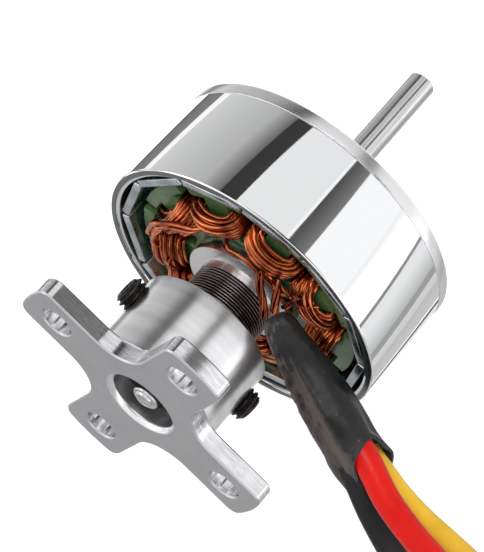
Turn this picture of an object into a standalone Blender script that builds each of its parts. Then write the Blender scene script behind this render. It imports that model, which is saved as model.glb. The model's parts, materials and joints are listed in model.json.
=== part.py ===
"""A brushless outrunner motor on a cross mount.

The shaft lies along Y: the back of the mount is the plane y = 0, facing -Y, and the shaft's free end
points to +Y. Z is up, so the leads hang towards -Z. The origin is the middle of the mount's back face.
"""

import math

import bmesh
import bpy
from mathutils import Matrix, Vector

MM = 0.001  # every size below is in millimetres

# Rotor: a bell of flux ring and front cap, the magnets inside it and the shaft.
BELL_RADIUS = 13.85
RIM_Y = 13.68
SEAM_Y = 23.4
SEAM_GAP = 0.04
CAP_FACE_Y = 24.64
RING_WALL = 0.9
RIM_EDGE = 0.2  # the rim's broken outer edge
CAP_EDGE = 0.25  # the cap's broken outer edge
SEAM_EDGE = 0.1
SPIGOT_DEPTH, SPIGOT_WALL = 0.8, 0.9
HUB_RADIUS = 3.6
HUB_TOP_Y = 27.6
HUB_EDGE, HUB_FOOT = 0.3, 0.4
HUB_BOSS_RADIUS, HUB_BOSS_DEPTH = 3.0, 0.75  # under the cap's plate
HUB_SCREW_DEG, HUB_SCREW_RADIUS, HUB_SCREW_SOCKET = 45, 1.0, 0.9
HUB_SCREW_EDGE, HUB_SCREW_POINT = 0.15, 0.3
HUB_SCREW_SINK = 0.15  # below the hub's side
WINDOW_INNER, WINDOW_OUTER = 5.2, 11.6
WINDOWS = 4
SPOKE_WIDTH = 3.4
MAGNETS = 12
MAGNET_SIZE = (6.1, 0.8, 8.5)  # along the ring, through its wall, along the shaft
MAGNET_FACE = 11.7  # from the axis to a magnet's inner face
MAGNET_EDGE = 0.1
MAGNET_Y = 13.98
FIRST_MAGNET_DEG = 28.0
SHAFT_RADIUS = 1.25
SHAFT_Y = (0.3, 40.6)
SHAFT_TIP_EDGE = 0.25
CLIP_Y = (2.5, 2.9)
CLIP_RADIUS, CLIP_OPENING_DEG = 2.3, 28
CLIP_GROOVE_DEPTH = 0.2
WASHER_RADIUS = 1.75

# Stator: teeth, coils and the tube that carries them and the bearings.
TEETH = 9
FIRST_TOOTH_DEG = 13.0
STACK_Y = (14.9, 20.4)
STATOR_RADIUS = 11.2
SHOE_DEPTH = 1.1
SHOE_HALF_DEG = 16.2
STEM_WIDTH = 2.5
STATOR_HUB_RADIUS = 5.6
COIL_RADII = (5.8, 9.5)
COIL_END = 1.8  # how far a coil stands out of the stack at each end
COIL_CORNERS = (1.2, 0.3)  # outer and inner corner radius
COIL_CLEARANCE = 0.1  # round the tooth's stem
TUBE_RADIUS = 3.75
TUBE_BORE_RADIUS = 2.4
TUBE_EDGE = 0.15
TUBE_Y = (3.25, 21.4)
FLANGE_RADIUS, FLANGE_Y = 5.2, (13.6, 14.8)

# Ball bearings, 2.5 x 6 x 2.6.
BEARING_RADIUS = 2.99
BEARING_WIDTH = 2.6
BEARING_MIDDLES = {"rear": 4.7, "front": 20.05}
PITCH_RADIUS = 2.1
BALL_RADIUS = 0.5
BALLS = 7
GROOVE_RADIUS = 0.55
GROOVE_HALF = 0.42
RACE_EDGE = 0.1
SHIELD_THICKNESS = 0.12
SHIELD_REACH = (0.02, 0.12)  # clear of the outer and of the inner ring
SHIELD_SINK = 0.08  # below the rings' end faces
CAGE_WALL, CAGE_WIDTH = 0.2, 0.8

# Cross mount.
ARM_RADIUS = 12.95
ARM_WIDTH = 6.1
ARM_FILLET = 3.75
ARM_CORNER = 0.7
PLATE_THICKNESS = 1.75
MOUNT_HOLE_CIRCLE = 9.75
MOUNT_HOLE_RADIUS = 1.5
COLLAR_RADIUS = 6.24
COLLAR_END_Y = 9.07
COLLAR_EDGE = 0.15
COLLAR_FOOT_Y = 0.9  # inside the plate, where the collar is joined to it
BORE_RADIUS, BORE_MOUTH = 3.1, 3.49
SET_SCREW_Y = 6.65
SET_SCREW_ENDS = (3.4, 7.4)  # from the axis
SET_SCREW_RADIUS = 1.45
SET_SCREW_DEGS = (135, -45)
SET_SCREW_SOCKET = 1.5
SET_SCREW_EDGE, SET_SCREW_POINT = 0.25, 0.6

# Heat-shrink sleeve: its middle line, and half its width and half its depth at each point.
SLEEVE_LINE = [
    (7.0, 11.2, 3.1),
    (8.2, 10.7, 0.6),
    (9.6, 10.4, -2.3),
    (11.4, 9.9, -5.2),
    (13.0, 9.3, -7.4),
    (13.7, 9.1, -8.0),
]
SLEEVE_HALVES = [(1.3, 0.9), (1.75, 1.2), (2.0, 1.6), (2.15, 2.1), (2.2, 2.7), (2.2, 2.85)]
SLEEVE_WIDE = (0.48, 0.88, 0.0)
SLEEVE_SIDES = 20

# Leads, from the sleeve's mouth to their connectors.
LEAD_RADIUS = 1.2
LEAD_ROUTES = {
    "red": [
        (15.0, 8.6, -6.6),
        (15.9, 8.2, -7.3),
        (16.8, 7.7, -8.1),
        (18.3, 6.9, -9.8),
        (19.8, 6.5, -11.6),
        (21.1, 6.4, -13.5),
        (22.3, 6.6, -15.9),
        (23.2, 6.8, -18.8),
        (23.8, 6.9, -22.4),
        (24.2, 7.0, -27.0),
        (24.5, 7.0, -33.0),
        (24.6, 7.0, -40.0),
        (24.6, 7.0, -47.0),
        (24.6, 7.0, -54.0),
        (24.6, 7.0, -60.6),
    ],
    "black": [
        (13.5, 8.2, -8.6),
        (14.2, 7.8, -9.2),
        (15.3, 7.1, -10.4),
        (16.4, 6.4, -11.8),
        (17.5, 5.9, -13.7),
        (18.3, 5.7, -16.0),
        (18.8, 5.5, -18.9),
        (19.0, 5.4, -22.6),
        (19.1, 5.3, -27.0),
        (19.2, 5.2, -33.0),
        (19.2, 5.2, -40.0),
        (19.2, 5.2, -47.0),
        (19.2, 5.2, -53.5),
        (19.2, 5.2, -59.3),
    ],
    "yellow": [
        (13.6, 10.3, -9.9),
        (14.2, 10.0, -10.4),
        (15.3, 9.7, -11.3),
        (16.9, 9.3, -12.9),
        (18.8, 9.2, -15.0),
        (20.8, 9.6, -17.8),
        (22.0, 10.3, -20.9),
        (22.7, 11.2, -24.6),
        (23.2, 12.1, -29.0),
        (23.5, 12.8, -34.4),
        (23.6, 13.1, -40.5),
        (23.6, 13.2, -47.0),
        (23.6, 13.2, -54.0),
        (23.6, 13.2, -60.3),
    ],
}
LEAD_STEP = 3.0  # between the points of a lead's tube
TAIL_RADIUS = 0.45
TAIL_ROUTES = [
    [(8.9, 12.6, 5.3), (8.4, 12.55, 4.9), (7.8, 12.4, 4.2), (7.32, 12.12, 3.45)],
    [(7.0, 12.6, 6.6), (6.9, 12.3, 5.6), (6.85, 11.85, 4.5), (6.85, 11.26, 3.45)],
    [(4.9, 12.6, 6.2), (5.3, 12.0, 5.5), (5.9, 11.2, 4.5), (6.38, 10.4, 3.45)],
]

# Bullet connectors: radius and distance from the lead's end, along the connector.
BULLET = [
    (2.05, 0.3),
    (2.05, 6.0),
    (1.55, 6.4),
    (1.55, 7.2),
    (1.8, 8.6),
    (1.85, 10.5),
    (1.7, 12.6),
    (1.5, 13.4),
    (1.1, 14.0),
    (0.0, 14.2),
]
BULLET_SLEEVE = [(1.35, -2.5), (1.6, -2.5), (2.5, -0.2), (2.5, 4.2), (2.2, 4.2), (2.2, 0.0)]

GAP = 0.05  # between pieces that touch
ROUND = 48
SMALL_ROUND = 20
BEARING_ROUND = 24

for old in list(bpy.data.objects):
    bpy.data.objects.remove(old)

parts = bpy.data.collections.new("brushless_outrunner_motor")
cutters = bpy.data.collections.new("cutters")
bpy.context.scene.collection.children.link(parts)
bpy.context.scene.collection.children.link(cutters)


def look(name, color, roughness, metallic):
    """A material with one Principled shader."""
    made = bpy.data.materials.new(name)
    made.use_nodes = True
    shader = made.node_tree.nodes["Principled BSDF"]
    shader.inputs["Base Color"].default_value = (*color, 1)
    shader.inputs["Roughness"].default_value = roughness
    shader.inputs["Metallic"].default_value = metallic
    return made


CHROME = look("chrome_steel", (0.82, 0.82, 0.84), 0.08, 1)
ALUMINIUM = look("machined_aluminium", (0.78, 0.78, 0.79), 0.3, 1)
STEEL = look("polished_steel", (0.62, 0.62, 0.63), 0.18, 1)
BLACK_STEEL = look("black_oxide_steel", (0.03, 0.028, 0.028), 0.45, 0.7)
NICKEL = look("nickel_plated_magnet", (0.5, 0.52, 0.55), 0.3, 1)
EPOXY = look("green_epoxy", (0.1, 0.25, 0.1), 0.35, 0)
COPPER = look("enamelled_copper", (0.72, 0.22, 0.07), 0.25, 1)
BRASS = look("brass", (0.75, 0.6, 0.3), 0.3, 1)
GOLD = look("gold_plate", (0.9, 0.65, 0.25), 0.2, 1)
SHRINK = look("black_heat_shrink", (0.03, 0.028, 0.028), 0.5, 0)
LEAD_LOOKS = {
    "red": look("red_silicone", (0.75, 0.03, 0.02), 0.45, 0),
    "black": look("black_silicone", (0.02, 0.02, 0.02), 0.45, 0),
    "yellow": look("yellow_silicone", (0.8, 0.5, 0.05), 0.45, 0),
}


def body(name):
    """An empty on the motor's axis, which the pieces of one body are parented to."""
    made = bpy.data.objects.new(name, None)
    parts.objects.link(made)
    return made


STATOR = body("stator_body")
ROTOR = body("rotor_body")
BALL_SETS = {end: body(f"{end}_ball_set") for end in BEARING_MIDDLES}


def place(name, mesh, material, parent, matrix=None):
    """Adds a mesh as a named piece, parented to its body's empty."""
    made = bpy.data.objects.new(name, mesh)
    parts.objects.link(made)
    if material and not mesh.materials:
        mesh.materials.append(material)
    made.parent = parent
    made.matrix_world = matrix or Matrix.Identity(4)
    return made


def guide(made):
    """Moves an object to the cutters, where it only shapes other pieces."""
    for holder in list(made.users_collection):
        holder.objects.unlink(made)
    cutters.objects.link(made)
    made.parent = None
    made.hide_render = True
    made.display_type = "WIRE"
    return made


def axis_matrix(direction, at=(0, 0, 0)):
    """Turns local Z to a direction and moves the origin to a point in millimetres."""
    turn = Vector(direction).to_track_quat("Z", "Y").to_matrix().to_4x4()
    return Matrix.Translation(Vector(at) * MM) @ turn


ALONG_SHAFT = axis_matrix((0, 1, 0))


def radial(degrees):
    """The direction away from the shaft at an angle from +X towards +Z."""
    angle = math.radians(degrees)
    return Vector((math.cos(angle), 0, math.sin(angle)))


def turned(name, outline, material, parent, matrix=ALONG_SHAFT, steps=ROUND):
    """A turned piece. The outline's (radius, height) points go down its outside and up its bore."""
    mesh = bpy.data.meshes.new(name)
    solid = outline[0][0] == 0
    count = len(outline)
    edges = [(i, (i + 1) % count) for i in range(count - 1 if solid else count)]
    mesh.from_pydata([(r * MM, 0, h * MM) for r, h in outline], edges, [])
    made = place(name, mesh, material, parent, matrix)
    screw = made.modifiers.new("turn", "SCREW")
    screw.steps = screw.render_steps = steps
    screw.use_merge_vertices = True
    screw.merge_threshold = 0.000001
    bpy.context.view_layer.update()
    whole = evaluated_mesh(made)
    made.modifiers.clear()
    made.data = whole
    return made


def evaluated_mesh(made):
    """An object's mesh with its modifiers, welded and smooth shaded between its sharp edges."""
    bpy.context.view_layer.update()
    graph = bpy.context.evaluated_depsgraph_get()
    mesh = bpy.data.meshes.new_from_object(made.evaluated_get(graph))
    form = bmesh.new()
    form.from_mesh(mesh)
    bmesh.ops.remove_doubles(form, verts=form.verts, dist=0.000001)
    form.to_mesh(mesh)
    form.free()
    mesh.shade_smooth()
    mesh.set_sharp_from_angle(angle=math.radians(35))
    return mesh


def plate(name, loops, low, high, material, parent, matrix=None):
    """A flat piece from closed outlines in X and Z, between two heights along Y."""
    curve = bpy.data.curves.new(name, "CURVE")
    curve.dimensions = "2D"
    curve.fill_mode = "BOTH"
    curve.extrude = (high - low) / 2 * MM
    for loop in loops:
        spline = curve.splines.new("POLY")
        spline.points.add(len(loop) - 1)
        for point, (x, z) in zip(spline.points, loop):
            point.co = (x * MM, z * MM, 0, 1)
        spline.use_cyclic_u = True
    drawn = bpy.data.objects.new(name + "_outline", curve)
    cutters.objects.link(drawn)
    upright = Matrix.Translation((0, (low + high) / 2 * MM, 0)) @ Matrix.Rotation(math.pi / 2, 4, "X")
    mesh = evaluated_mesh(drawn)
    mesh.transform(upright)
    bpy.data.objects.remove(drawn)
    bpy.data.curves.remove(curve)
    return place(name, mesh, material, parent, matrix)


def cylinder(name, radius, low, high, matrix, steps=SMALL_ROUND):
    """A cutter with its ends at two heights along the matrix's Z."""
    outline = [(0, high), (radius, high), (radius, low), (0, low)]
    return guide(turned(name, outline, None, None, matrix, steps))


def boolean(made, other, operation="DIFFERENCE"):
    """Adds an exact Boolean to a piece."""
    modifier = made.modifiers.new(other.name, "BOOLEAN")
    modifier.operation = operation
    modifier.solver = "EXACT"
    modifier.object = other


def arc(middle, radius, first, last, steps):
    """Points of an arc in a plane, from one angle in degrees to another."""
    angles = [math.radians(first + (last - first) * i / steps) for i in range(steps + 1)]
    return [(middle[0] + radius * math.cos(a), middle[1] + radius * math.sin(a)) for a in angles]


def turned_about(points, degrees):
    """Plane points turned about the origin."""
    c, s = math.cos(math.radians(degrees)), math.sin(math.radians(degrees))
    return [(x * c - y * s, x * s + y * c) for x, y in points]


# Cross mount


def arm_outline():
    """One arm along +X and the hollow that leads to the next arm."""
    half = ARM_WIDTH / 2
    reach = math.degrees(math.asin((half - ARM_CORNER) / (ARM_RADIUS - ARM_CORNER)))
    tip = ARM_RADIUS - ARM_CORNER
    corner = (tip * math.cos(math.radians(reach)), half - ARM_CORNER)
    low_corner = arc((corner[0], -corner[1]), ARM_CORNER, -90, -reach, 3)
    end = arc((0, 0), ARM_RADIUS, -reach, reach, 6)[1:-1]
    high_corner = arc(corner, ARM_CORNER, reach, 90, 3)
    hollow = (half + ARM_FILLET, half + ARM_FILLET)
    return low_corner + end + high_corner + arc(hollow, ARM_FILLET, 270, 180, 6)


def cross_mount():
    """The cross plate with its four holes, and the collar with its stepped bore."""
    outline = [p for k in range(4) for p in turned_about(arm_outline(), 45 + 90 * k)]
    holes = [
        turned_about(arc((MOUNT_HOLE_CIRCLE, 0), MOUNT_HOLE_RADIUS, 0, 337.5, 15), 45 + 90 * k)
        for k in range(4)
    ]
    made = plate("cross_mount", [outline, *holes], 0, PLATE_THICKNESS, ALUMINIUM, STATOR)
    collar = [
        (0, COLLAR_END_Y),
        (COLLAR_RADIUS - COLLAR_EDGE, COLLAR_END_Y),
        (COLLAR_RADIUS, COLLAR_END_Y - COLLAR_EDGE),
        (COLLAR_RADIUS, COLLAR_FOOT_Y),
        (0, COLLAR_FOOT_Y),
    ]
    boolean(made, guide(turned("collar", collar, None, None)), "UNION")
    bore = [
        (0, COLLAR_END_Y + 1),
        (TUBE_RADIUS + GAP, COLLAR_END_Y + 1),
        (TUBE_RADIUS + GAP, TUBE_Y[0] - GAP),
        (BORE_RADIUS, TUBE_Y[0] - GAP),
        (BORE_RADIUS, BORE_MOUTH - BORE_RADIUS),
        (BORE_MOUTH + 1, -1),
        (0, -1),
    ]
    boolean(made, guide(turned("collar_bore", bore, None, None)))
    for number, degrees in enumerate(SET_SCREW_DEGS, 1):
        matrix = axis_matrix(radial(degrees), (0, SET_SCREW_Y, 0))
        hole = cylinder(f"set_screw_hole_{number}", SET_SCREW_RADIUS + GAP, 2, 8, matrix)
        boolean(made, hole)


def hexagon(name, across, low, high, matrix):
    """A cutter for a hexagon socket."""
    return cylinder(name, across / math.sqrt(3), low, high, matrix, 6)


def collar_screws():
    """Two socket set screws through the collar, with a cup point on the tube."""
    low, high = SET_SCREW_ENDS
    r = SET_SCREW_RADIUS
    outline = [
        (0, high),
        (r - SET_SCREW_EDGE, high),
        (r, high - SET_SCREW_EDGE),
        (r, low + SET_SCREW_POINT),
        (r - SET_SCREW_POINT, low),
        (0, low + SET_SCREW_POINT / 2),
    ]
    for number, degrees in enumerate(SET_SCREW_DEGS, 1):
        matrix = axis_matrix(radial(degrees), (0, SET_SCREW_Y, 0))
        screw = turned(f"collar_screw_{number}", outline, BLACK_STEEL, STATOR, matrix, SMALL_ROUND)
        foot = high - SET_SCREW_SOCKET
        socket = hexagon(f"collar_socket_{number}", SET_SCREW_SOCKET, foot, high + 1, matrix)
        boolean(screw, socket)


def bearing_tube():
    """The tube that holds both bearings, with the flange that the stator rests on."""
    seat = BEARING_RADIUS + GAP / 2
    rear_step = BEARING_MIDDLES["rear"] + BEARING_WIDTH / 2 + GAP
    front_step = BEARING_MIDDLES["front"] - BEARING_WIDTH / 2 - GAP
    outline = [
        (TUBE_RADIUS - TUBE_EDGE, TUBE_Y[1]),
        (TUBE_RADIUS, TUBE_Y[1] - TUBE_EDGE),
        (TUBE_RADIUS, FLANGE_Y[1]),
        (FLANGE_RADIUS, FLANGE_Y[1]),
        (FLANGE_RADIUS, FLANGE_Y[0]),
        (TUBE_RADIUS, FLANGE_Y[0]),
        (TUBE_RADIUS, TUBE_Y[0] + TUBE_EDGE),
        (TUBE_RADIUS - TUBE_EDGE, TUBE_Y[0]),
        (seat, TUBE_Y[0]),
        (seat, rear_step),
        (TUBE_BORE_RADIUS, rear_step),
        (TUBE_BORE_RADIUS, front_step),
        (seat, front_step),
        (seat, TUBE_Y[1]),
    ]
    made = turned("bearing_tube", outline, ALUMINIUM, STATOR)
    for number, degrees in enumerate(SET_SCREW_DEGS, 1):
        matrix = axis_matrix(radial(degrees), (0, SET_SCREW_Y, 0))
        low = SET_SCREW_ENDS[0] - GAP
        boolean(made, cylinder(f"tube_dimple_{number}", SET_SCREW_RADIUS + GAP, low, 5, matrix))


# Bearings


def groove(outward):
    """The ball groove's arc in a ring's land, from the top down."""
    half = math.degrees(math.asin(GROOVE_HALF / GROOVE_RADIUS))
    if outward:
        return arc((PITCH_RADIUS, 0), GROOVE_RADIUS, -half, half, 4)
    return arc((PITCH_RADIUS, 0), GROOVE_RADIUS, 180 - half, 180 + half, 4)


def bearing(end, middle):
    """A shielded ball bearing: rings, shields, and the balls in their cage."""
    top = BEARING_WIDTH / 2
    outer_land, inner_land = (groove(True)[0][0], groove(False)[0][0])
    outer = [
        (BEARING_RADIUS - RACE_EDGE, top),
        (BEARING_RADIUS, top - RACE_EDGE),
        (BEARING_RADIUS, RACE_EDGE - top),
        (BEARING_RADIUS - RACE_EDGE, -top),
        (outer_land, -top),
        *groove(True),
        (outer_land, top),
    ]
    inner = [
        (inner_land, top),
        *groove(False),
        (inner_land, -top),
        (SHAFT_RADIUS + GAP / 2, -top),
        (SHAFT_RADIUS + GAP / 2, top),
    ]
    matrix = axis_matrix((0, 1, 0), (0, middle, 0))
    turned(f"{end}_bearing_outer_ring", outer, STEEL, STATOR, matrix, BEARING_ROUND)
    turned(f"{end}_bearing_inner_ring", inner, STEEL, ROTOR, matrix, BEARING_ROUND)
    wide, narrow = outer_land - SHIELD_REACH[0], inner_land + SHIELD_REACH[1]
    sides = {"inside": top - SHIELD_SINK - SHIELD_THICKNESS, "outside": SHIELD_SINK - top}
    for side, low in sides.items():
        if end == "front":
            low = -low - SHIELD_THICKNESS
        high = low + SHIELD_THICKNESS
        shield = [(wide, high), (wide, low), (narrow, low), (narrow, high)]
        turned(f"{end}_bearing_shield_{side}", shield, STEEL, STATOR, matrix, BEARING_ROUND)
    ball_set(end, matrix)


def ball_set(end, matrix):
    """Seven balls held in a thin cage ring, as one solid."""
    outer, inner = PITCH_RADIUS + CAGE_WALL / 2, PITCH_RADIUS - CAGE_WALL / 2
    high = CAGE_WIDTH / 2
    cage = [(outer, high), (outer, -high), (inner, -high), (inner, high)]
    made = turned(f"{end}_bearing_balls", cage, STEEL, BALL_SETS[end], matrix, 28)
    for number in range(BALLS):
        bpy.ops.mesh.primitive_uv_sphere_add(segments=8, ring_count=6, radius=BALL_RADIUS * MM)
        ball = guide(bpy.context.active_object)
        ball.name = f"{end}_ball_{number}"
        along = Matrix.Rotation(math.tau * number / BALLS, 4, "Z")
        ball.matrix_world = matrix @ along @ Matrix.Translation((PITCH_RADIUS * MM, 0, 0))
        boolean(made, ball, "UNION")


# Stator


def tooth_outline():
    """One tooth along +X, from the slot before it to the slot after it."""
    half_pitch = 180 / TEETH
    root = math.degrees(math.asin(STEM_WIDTH / 2 / STATOR_HUB_RADIUS))
    neck = STATOR_RADIUS - SHOE_DEPTH
    shoe_side = neck * math.sin(math.radians(SHOE_HALF_DEG))
    shoe_foot = neck * math.cos(math.radians(SHOE_HALF_DEG)) - 0.1
    half = STEM_WIDTH / 2
    rise = [(neck - 0.25, -half), (shoe_foot, -shoe_side)]
    fall = [(x, -y) for x, y in reversed(rise)]
    tip = arc((0, 0), STATOR_RADIUS, -SHOE_HALF_DEG, SHOE_HALF_DEG, 6)
    before = arc((0, 0), STATOR_HUB_RADIUS, -half_pitch, -root, 2)
    after = arc((0, 0), STATOR_HUB_RADIUS, root, half_pitch, 2)
    return before + rise + tip + fall + after[:-1]


def stator_core():
    """The coated stack of laminations."""
    teeth = [
        p
        for k in range(TEETH)
        for p in turned_about(tooth_outline(), FIRST_TOOTH_DEG + 360 / TEETH * k)
    ]
    bore = arc((0, 0), TUBE_RADIUS + GAP, 0, 360 - 360 / ROUND, ROUND - 1)
    plate("stator_core", [teeth, bore], *STACK_Y, EPOXY, STATOR)


def rounded_box(half_x, half_y, radius):
    """The outline of a rectangle with round corners about the origin."""
    corners = [(1, 1, 0), (-1, 1, 90), (-1, -1, 180), (1, -1, 270)]
    return [
        p
        for sx, sy, start in corners
        for p in arc((sx * (half_x - radius), sy * (half_y - radius)), radius, start, start + 90, 4)
    ]


def coils():
    """Nine coils, each a ring round a tooth that thickens with the slot towards the shoe."""
    stack_half = (STACK_Y[1] - STACK_Y[0]) / 2
    inner = (STEM_WIDTH / 2 + COIL_CLEARANCE, stack_half + COIL_CLEARANCE)
    slot = math.tan(math.radians(180 / TEETH))
    widest = COIL_RADII[1] * slot - 0.25
    outer = (widest, stack_half + COIL_END)
    loops = [rounded_box(*outer, COIL_CORNERS[0]), rounded_box(*inner, COIL_CORNERS[1])]
    first = plate("coil_01", loops, *COIL_RADII, COPPER, STATOR)
    for vertex in first.data.vertices:
        x, radius, _ = vertex.co / MM
        wide = min(1.0, (radius * slot - 0.12) / widest)
        if abs(x) > inner[0] + 0.01:
            vertex.co.x = math.copysign(max(abs(x) * wide, inner[0] + 0.2), x) * MM
    # The ring was drawn round Y: its local Y is the tooth's direction and its local Z the shaft's.
    middle = Vector((0, sum(STACK_Y) / 2 * MM, 0))
    for number in range(TEETH):
        out = radial(FIRST_TOOTH_DEG + 360 / TEETH * number)
        shaft = Vector((0, 1, 0))
        turn = Matrix((out.cross(shaft), out, shaft)).transposed().to_4x4()
        matrix = Matrix.Translation(middle) @ turn
        if number == 0:
            first.matrix_world = matrix
        else:
            place(f"coil_{number + 1:02d}", first.data, COPPER, STATOR, matrix)


# Rotor


def flux_ring():
    """The steel ring of the bell, with broken edges at the rim and at the seam."""
    bore = BELL_RADIUS - RING_WALL
    outline = [
        (BELL_RADIUS - SEAM_EDGE, SEAM_Y),
        (BELL_RADIUS, SEAM_Y - SEAM_EDGE),
        (BELL_RADIUS, RIM_Y + RIM_EDGE),
        (BELL_RADIUS - RIM_EDGE, RIM_Y),
        (bore + RIM_EDGE, RIM_Y),
        (bore, RIM_Y + RIM_EDGE),
        (bore, SEAM_Y),
    ]
    turned("flux_ring", outline, CHROME, ROTOR)


def front_cap():
    """The cap that closes the bell, with its windows, its hub and the hub's screw hole."""
    low = SEAM_Y + SEAM_GAP
    spigot = BELL_RADIUS - RING_WALL - GAP
    outline = [
        (HUB_RADIUS - HUB_EDGE, HUB_TOP_Y),
        (HUB_RADIUS, HUB_TOP_Y - HUB_EDGE),
        (HUB_RADIUS, CAP_FACE_Y + HUB_FOOT),
        (HUB_RADIUS + HUB_FOOT, CAP_FACE_Y),
        (BELL_RADIUS - CAP_EDGE, CAP_FACE_Y),
        (BELL_RADIUS, CAP_FACE_Y - CAP_EDGE),
        (BELL_RADIUS, low + SEAM_EDGE),
        (BELL_RADIUS - SEAM_EDGE, low),
        (spigot, low),
        (spigot, low - SPIGOT_DEPTH),
        (spigot - SPIGOT_WALL, low - SPIGOT_DEPTH),
        (spigot - SPIGOT_WALL, low),
        (HUB_RADIUS, low),
        (HUB_BOSS_RADIUS, low - HUB_BOSS_DEPTH),
        (SHAFT_RADIUS + GAP / 2, low - HUB_BOSS_DEPTH),
        (SHAFT_RADIUS + GAP / 2, HUB_TOP_Y),
    ]
    made = turned("front_cap", outline, ALUMINIUM, ROTOR)
    inner = math.degrees(math.asin(SPOKE_WIDTH / 2 / WINDOW_INNER))
    outer = math.degrees(math.asin(SPOKE_WIDTH / 2 / WINDOW_OUTER))
    half_turn = 180 / WINDOWS
    window = arc((0, 0), WINDOW_INNER, inner - half_turn, half_turn - inner, 4)
    window += arc((0, 0), WINDOW_OUTER, half_turn - outer, outer - half_turn, 8)
    for number in range(WINDOWS):
        loop = turned_about(window, 360 / WINDOWS * number)
        cutter = plate(f"window_{number}", [loop], low - 1, CAP_FACE_Y + 1, None, None)
        boolean(made, guide(cutter))
    matrix = axis_matrix(radial(HUB_SCREW_DEG), (0, (HUB_TOP_Y + CAP_FACE_Y) / 2, 0))
    boolean(made, cylinder("hub_screw_hole", HUB_SCREW_RADIUS + GAP, 0, HUB_RADIUS + 1, matrix))
    hub_set_screw(matrix)


def hub_set_screw(matrix):
    """The small socket set screw that holds the hub on the shaft."""
    low, high = SHAFT_RADIUS + GAP, HUB_RADIUS - HUB_SCREW_SINK
    r = HUB_SCREW_RADIUS
    outline = [
        (0, high),
        (r - HUB_SCREW_EDGE, high),
        (r, high - HUB_SCREW_EDGE),
        (r, low + HUB_SCREW_POINT),
        (r - HUB_SCREW_POINT, low),
        (0, low),
    ]
    made = turned("hub_set_screw", outline, BLACK_STEEL, ROTOR, matrix, SMALL_ROUND)
    boolean(made, hexagon("hub_socket", HUB_SCREW_SOCKET, high - HUB_SCREW_SOCKET, high + 1, matrix))


def magnets():
    """Twelve flat bars in a ring, each with its broad face to the stator."""
    wide, thick, long = MAGNET_SIZE
    bpy.ops.mesh.primitive_cube_add(size=1)
    first = bpy.context.active_object
    mesh = first.data
    mesh.transform(Matrix.Diagonal((thick * MM, long * MM, wide * MM, 1)))
    bpy.data.objects.remove(first)
    middle = (MAGNET_FACE + thick / 2, MAGNET_Y + long / 2)
    for number in range(MAGNETS):
        degrees = FIRST_MAGNET_DEG + 360 / MAGNETS * number
        turn = Matrix.Rotation(-math.radians(degrees), 4, "Y")
        offset = Matrix.Translation((middle[0] * MM, middle[1] * MM, 0))
        made = place(f"magnet_{number + 1:02d}", mesh, NICKEL, ROTOR, turn @ offset)
        bevel = made.modifiers.new("edge", "BEVEL")
        bevel.width = MAGNET_EDGE * MM
        bevel.segments = 1


def shaft():
    """The shaft, with a domed rear end, a clip groove and a broken front edge."""
    low, high = SHAFT_Y
    r = SHAFT_RADIUS
    outline = [
        (0, high),
        (r - SHAFT_TIP_EDGE, high),
        (r, high - SHAFT_TIP_EDGE),
        (r, CLIP_Y[1] + GAP),
        (r - CLIP_GROOVE_DEPTH, CLIP_Y[1] + GAP),
        (r - CLIP_GROOVE_DEPTH, CLIP_Y[0] - GAP),
        (r, CLIP_Y[0] - GAP),
        (r, low + 0.45),
        (r - 0.12, low + 0.25),
        (r * 0.55, low + 0.05),
        (0, low),
    ]
    turned("shaft", outline, STEEL, ROTOR, steps=24)


def shaft_fittings():
    """The open clip in the shaft's groove, the washer behind it, and the spacer under the cap."""
    opening = CLIP_OPENING_DEG
    clip = arc((0, 0), CLIP_RADIUS, opening, 360 - opening, 20)
    clip += arc((0, 0), SHAFT_RADIUS - CLIP_GROOVE_DEPTH / 2, 360 - opening, opening, 20)
    plate("retaining_clip", [clip], *CLIP_Y, STEEL, ROTOR)
    bore = SHAFT_RADIUS + GAP / 2
    rear_face = BEARING_MIDDLES["rear"] - BEARING_WIDTH / 2
    front_face = BEARING_MIDDLES["front"] + BEARING_WIDTH / 2
    rings = {
        "rear_washer": (CLIP_Y[1] + GAP, rear_face - GAP, STEEL),
        "front_spacer": (front_face + GAP, SEAM_Y + SEAM_GAP - HUB_BOSS_DEPTH - GAP, BRASS),
    }
    for name, (low, high, material) in rings.items():
        outline = [(WASHER_RADIUS, high), (WASHER_RADIUS, low), (bore, low), (bore, high)]
        turned(name, outline, material, ROTOR, steps=SMALL_ROUND)


# Leads


def smooth(points, step):
    """Points about a step apart on a smooth curve through a route's points."""
    route = [Vector(p) for p in points]
    ends = [2 * route[0] - route[1], *route, 2 * route[-1] - route[-2]]
    dense = []
    for a, b, c, d in zip(ends, ends[1:], ends[2:], ends[3:]):
        for i in range(8):
            t = i / 8
            cubic = (3 * b - a - 3 * c + d) * t**3
            dense.append(0.5 * (2 * b + (c - a) * t + (2 * a - 5 * b + 4 * c - d) * t**2 + cubic))
    dense.append(route[-1])
    length = sum((q - p).length for p, q in zip(dense, dense[1:]))
    count = max(2, round(length / step))
    made, gone, target = [dense[0]], 0.0, length / count
    for p, q in zip(dense, dense[1:]):
        piece = (q - p).length
        while gone + piece >= target * len(made) and len(made) < count:
            made.append(p.lerp(q, (target * len(made) - gone) / piece))
        gone += piece
    return [*made, dense[-1]]


def tube(name, points, radius, material, sides=2):
    """A round wire along points, with closed ends."""
    curve = bpy.data.curves.new(name, "CURVE")
    curve.dimensions = "3D"
    curve.bevel_depth = radius * MM
    curve.bevel_resolution = sides
    curve.use_fill_caps = True
    spline = curve.splines.new("POLY")
    spline.points.add(len(points) - 1)
    for point, place_at in zip(spline.points, points):
        point.co = (*(Vector(place_at) * MM), 1)
    curve.materials.append(material)
    made = bpy.data.objects.new(name, curve)
    parts.objects.link(made)
    made.parent = STATOR
    return made


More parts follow.
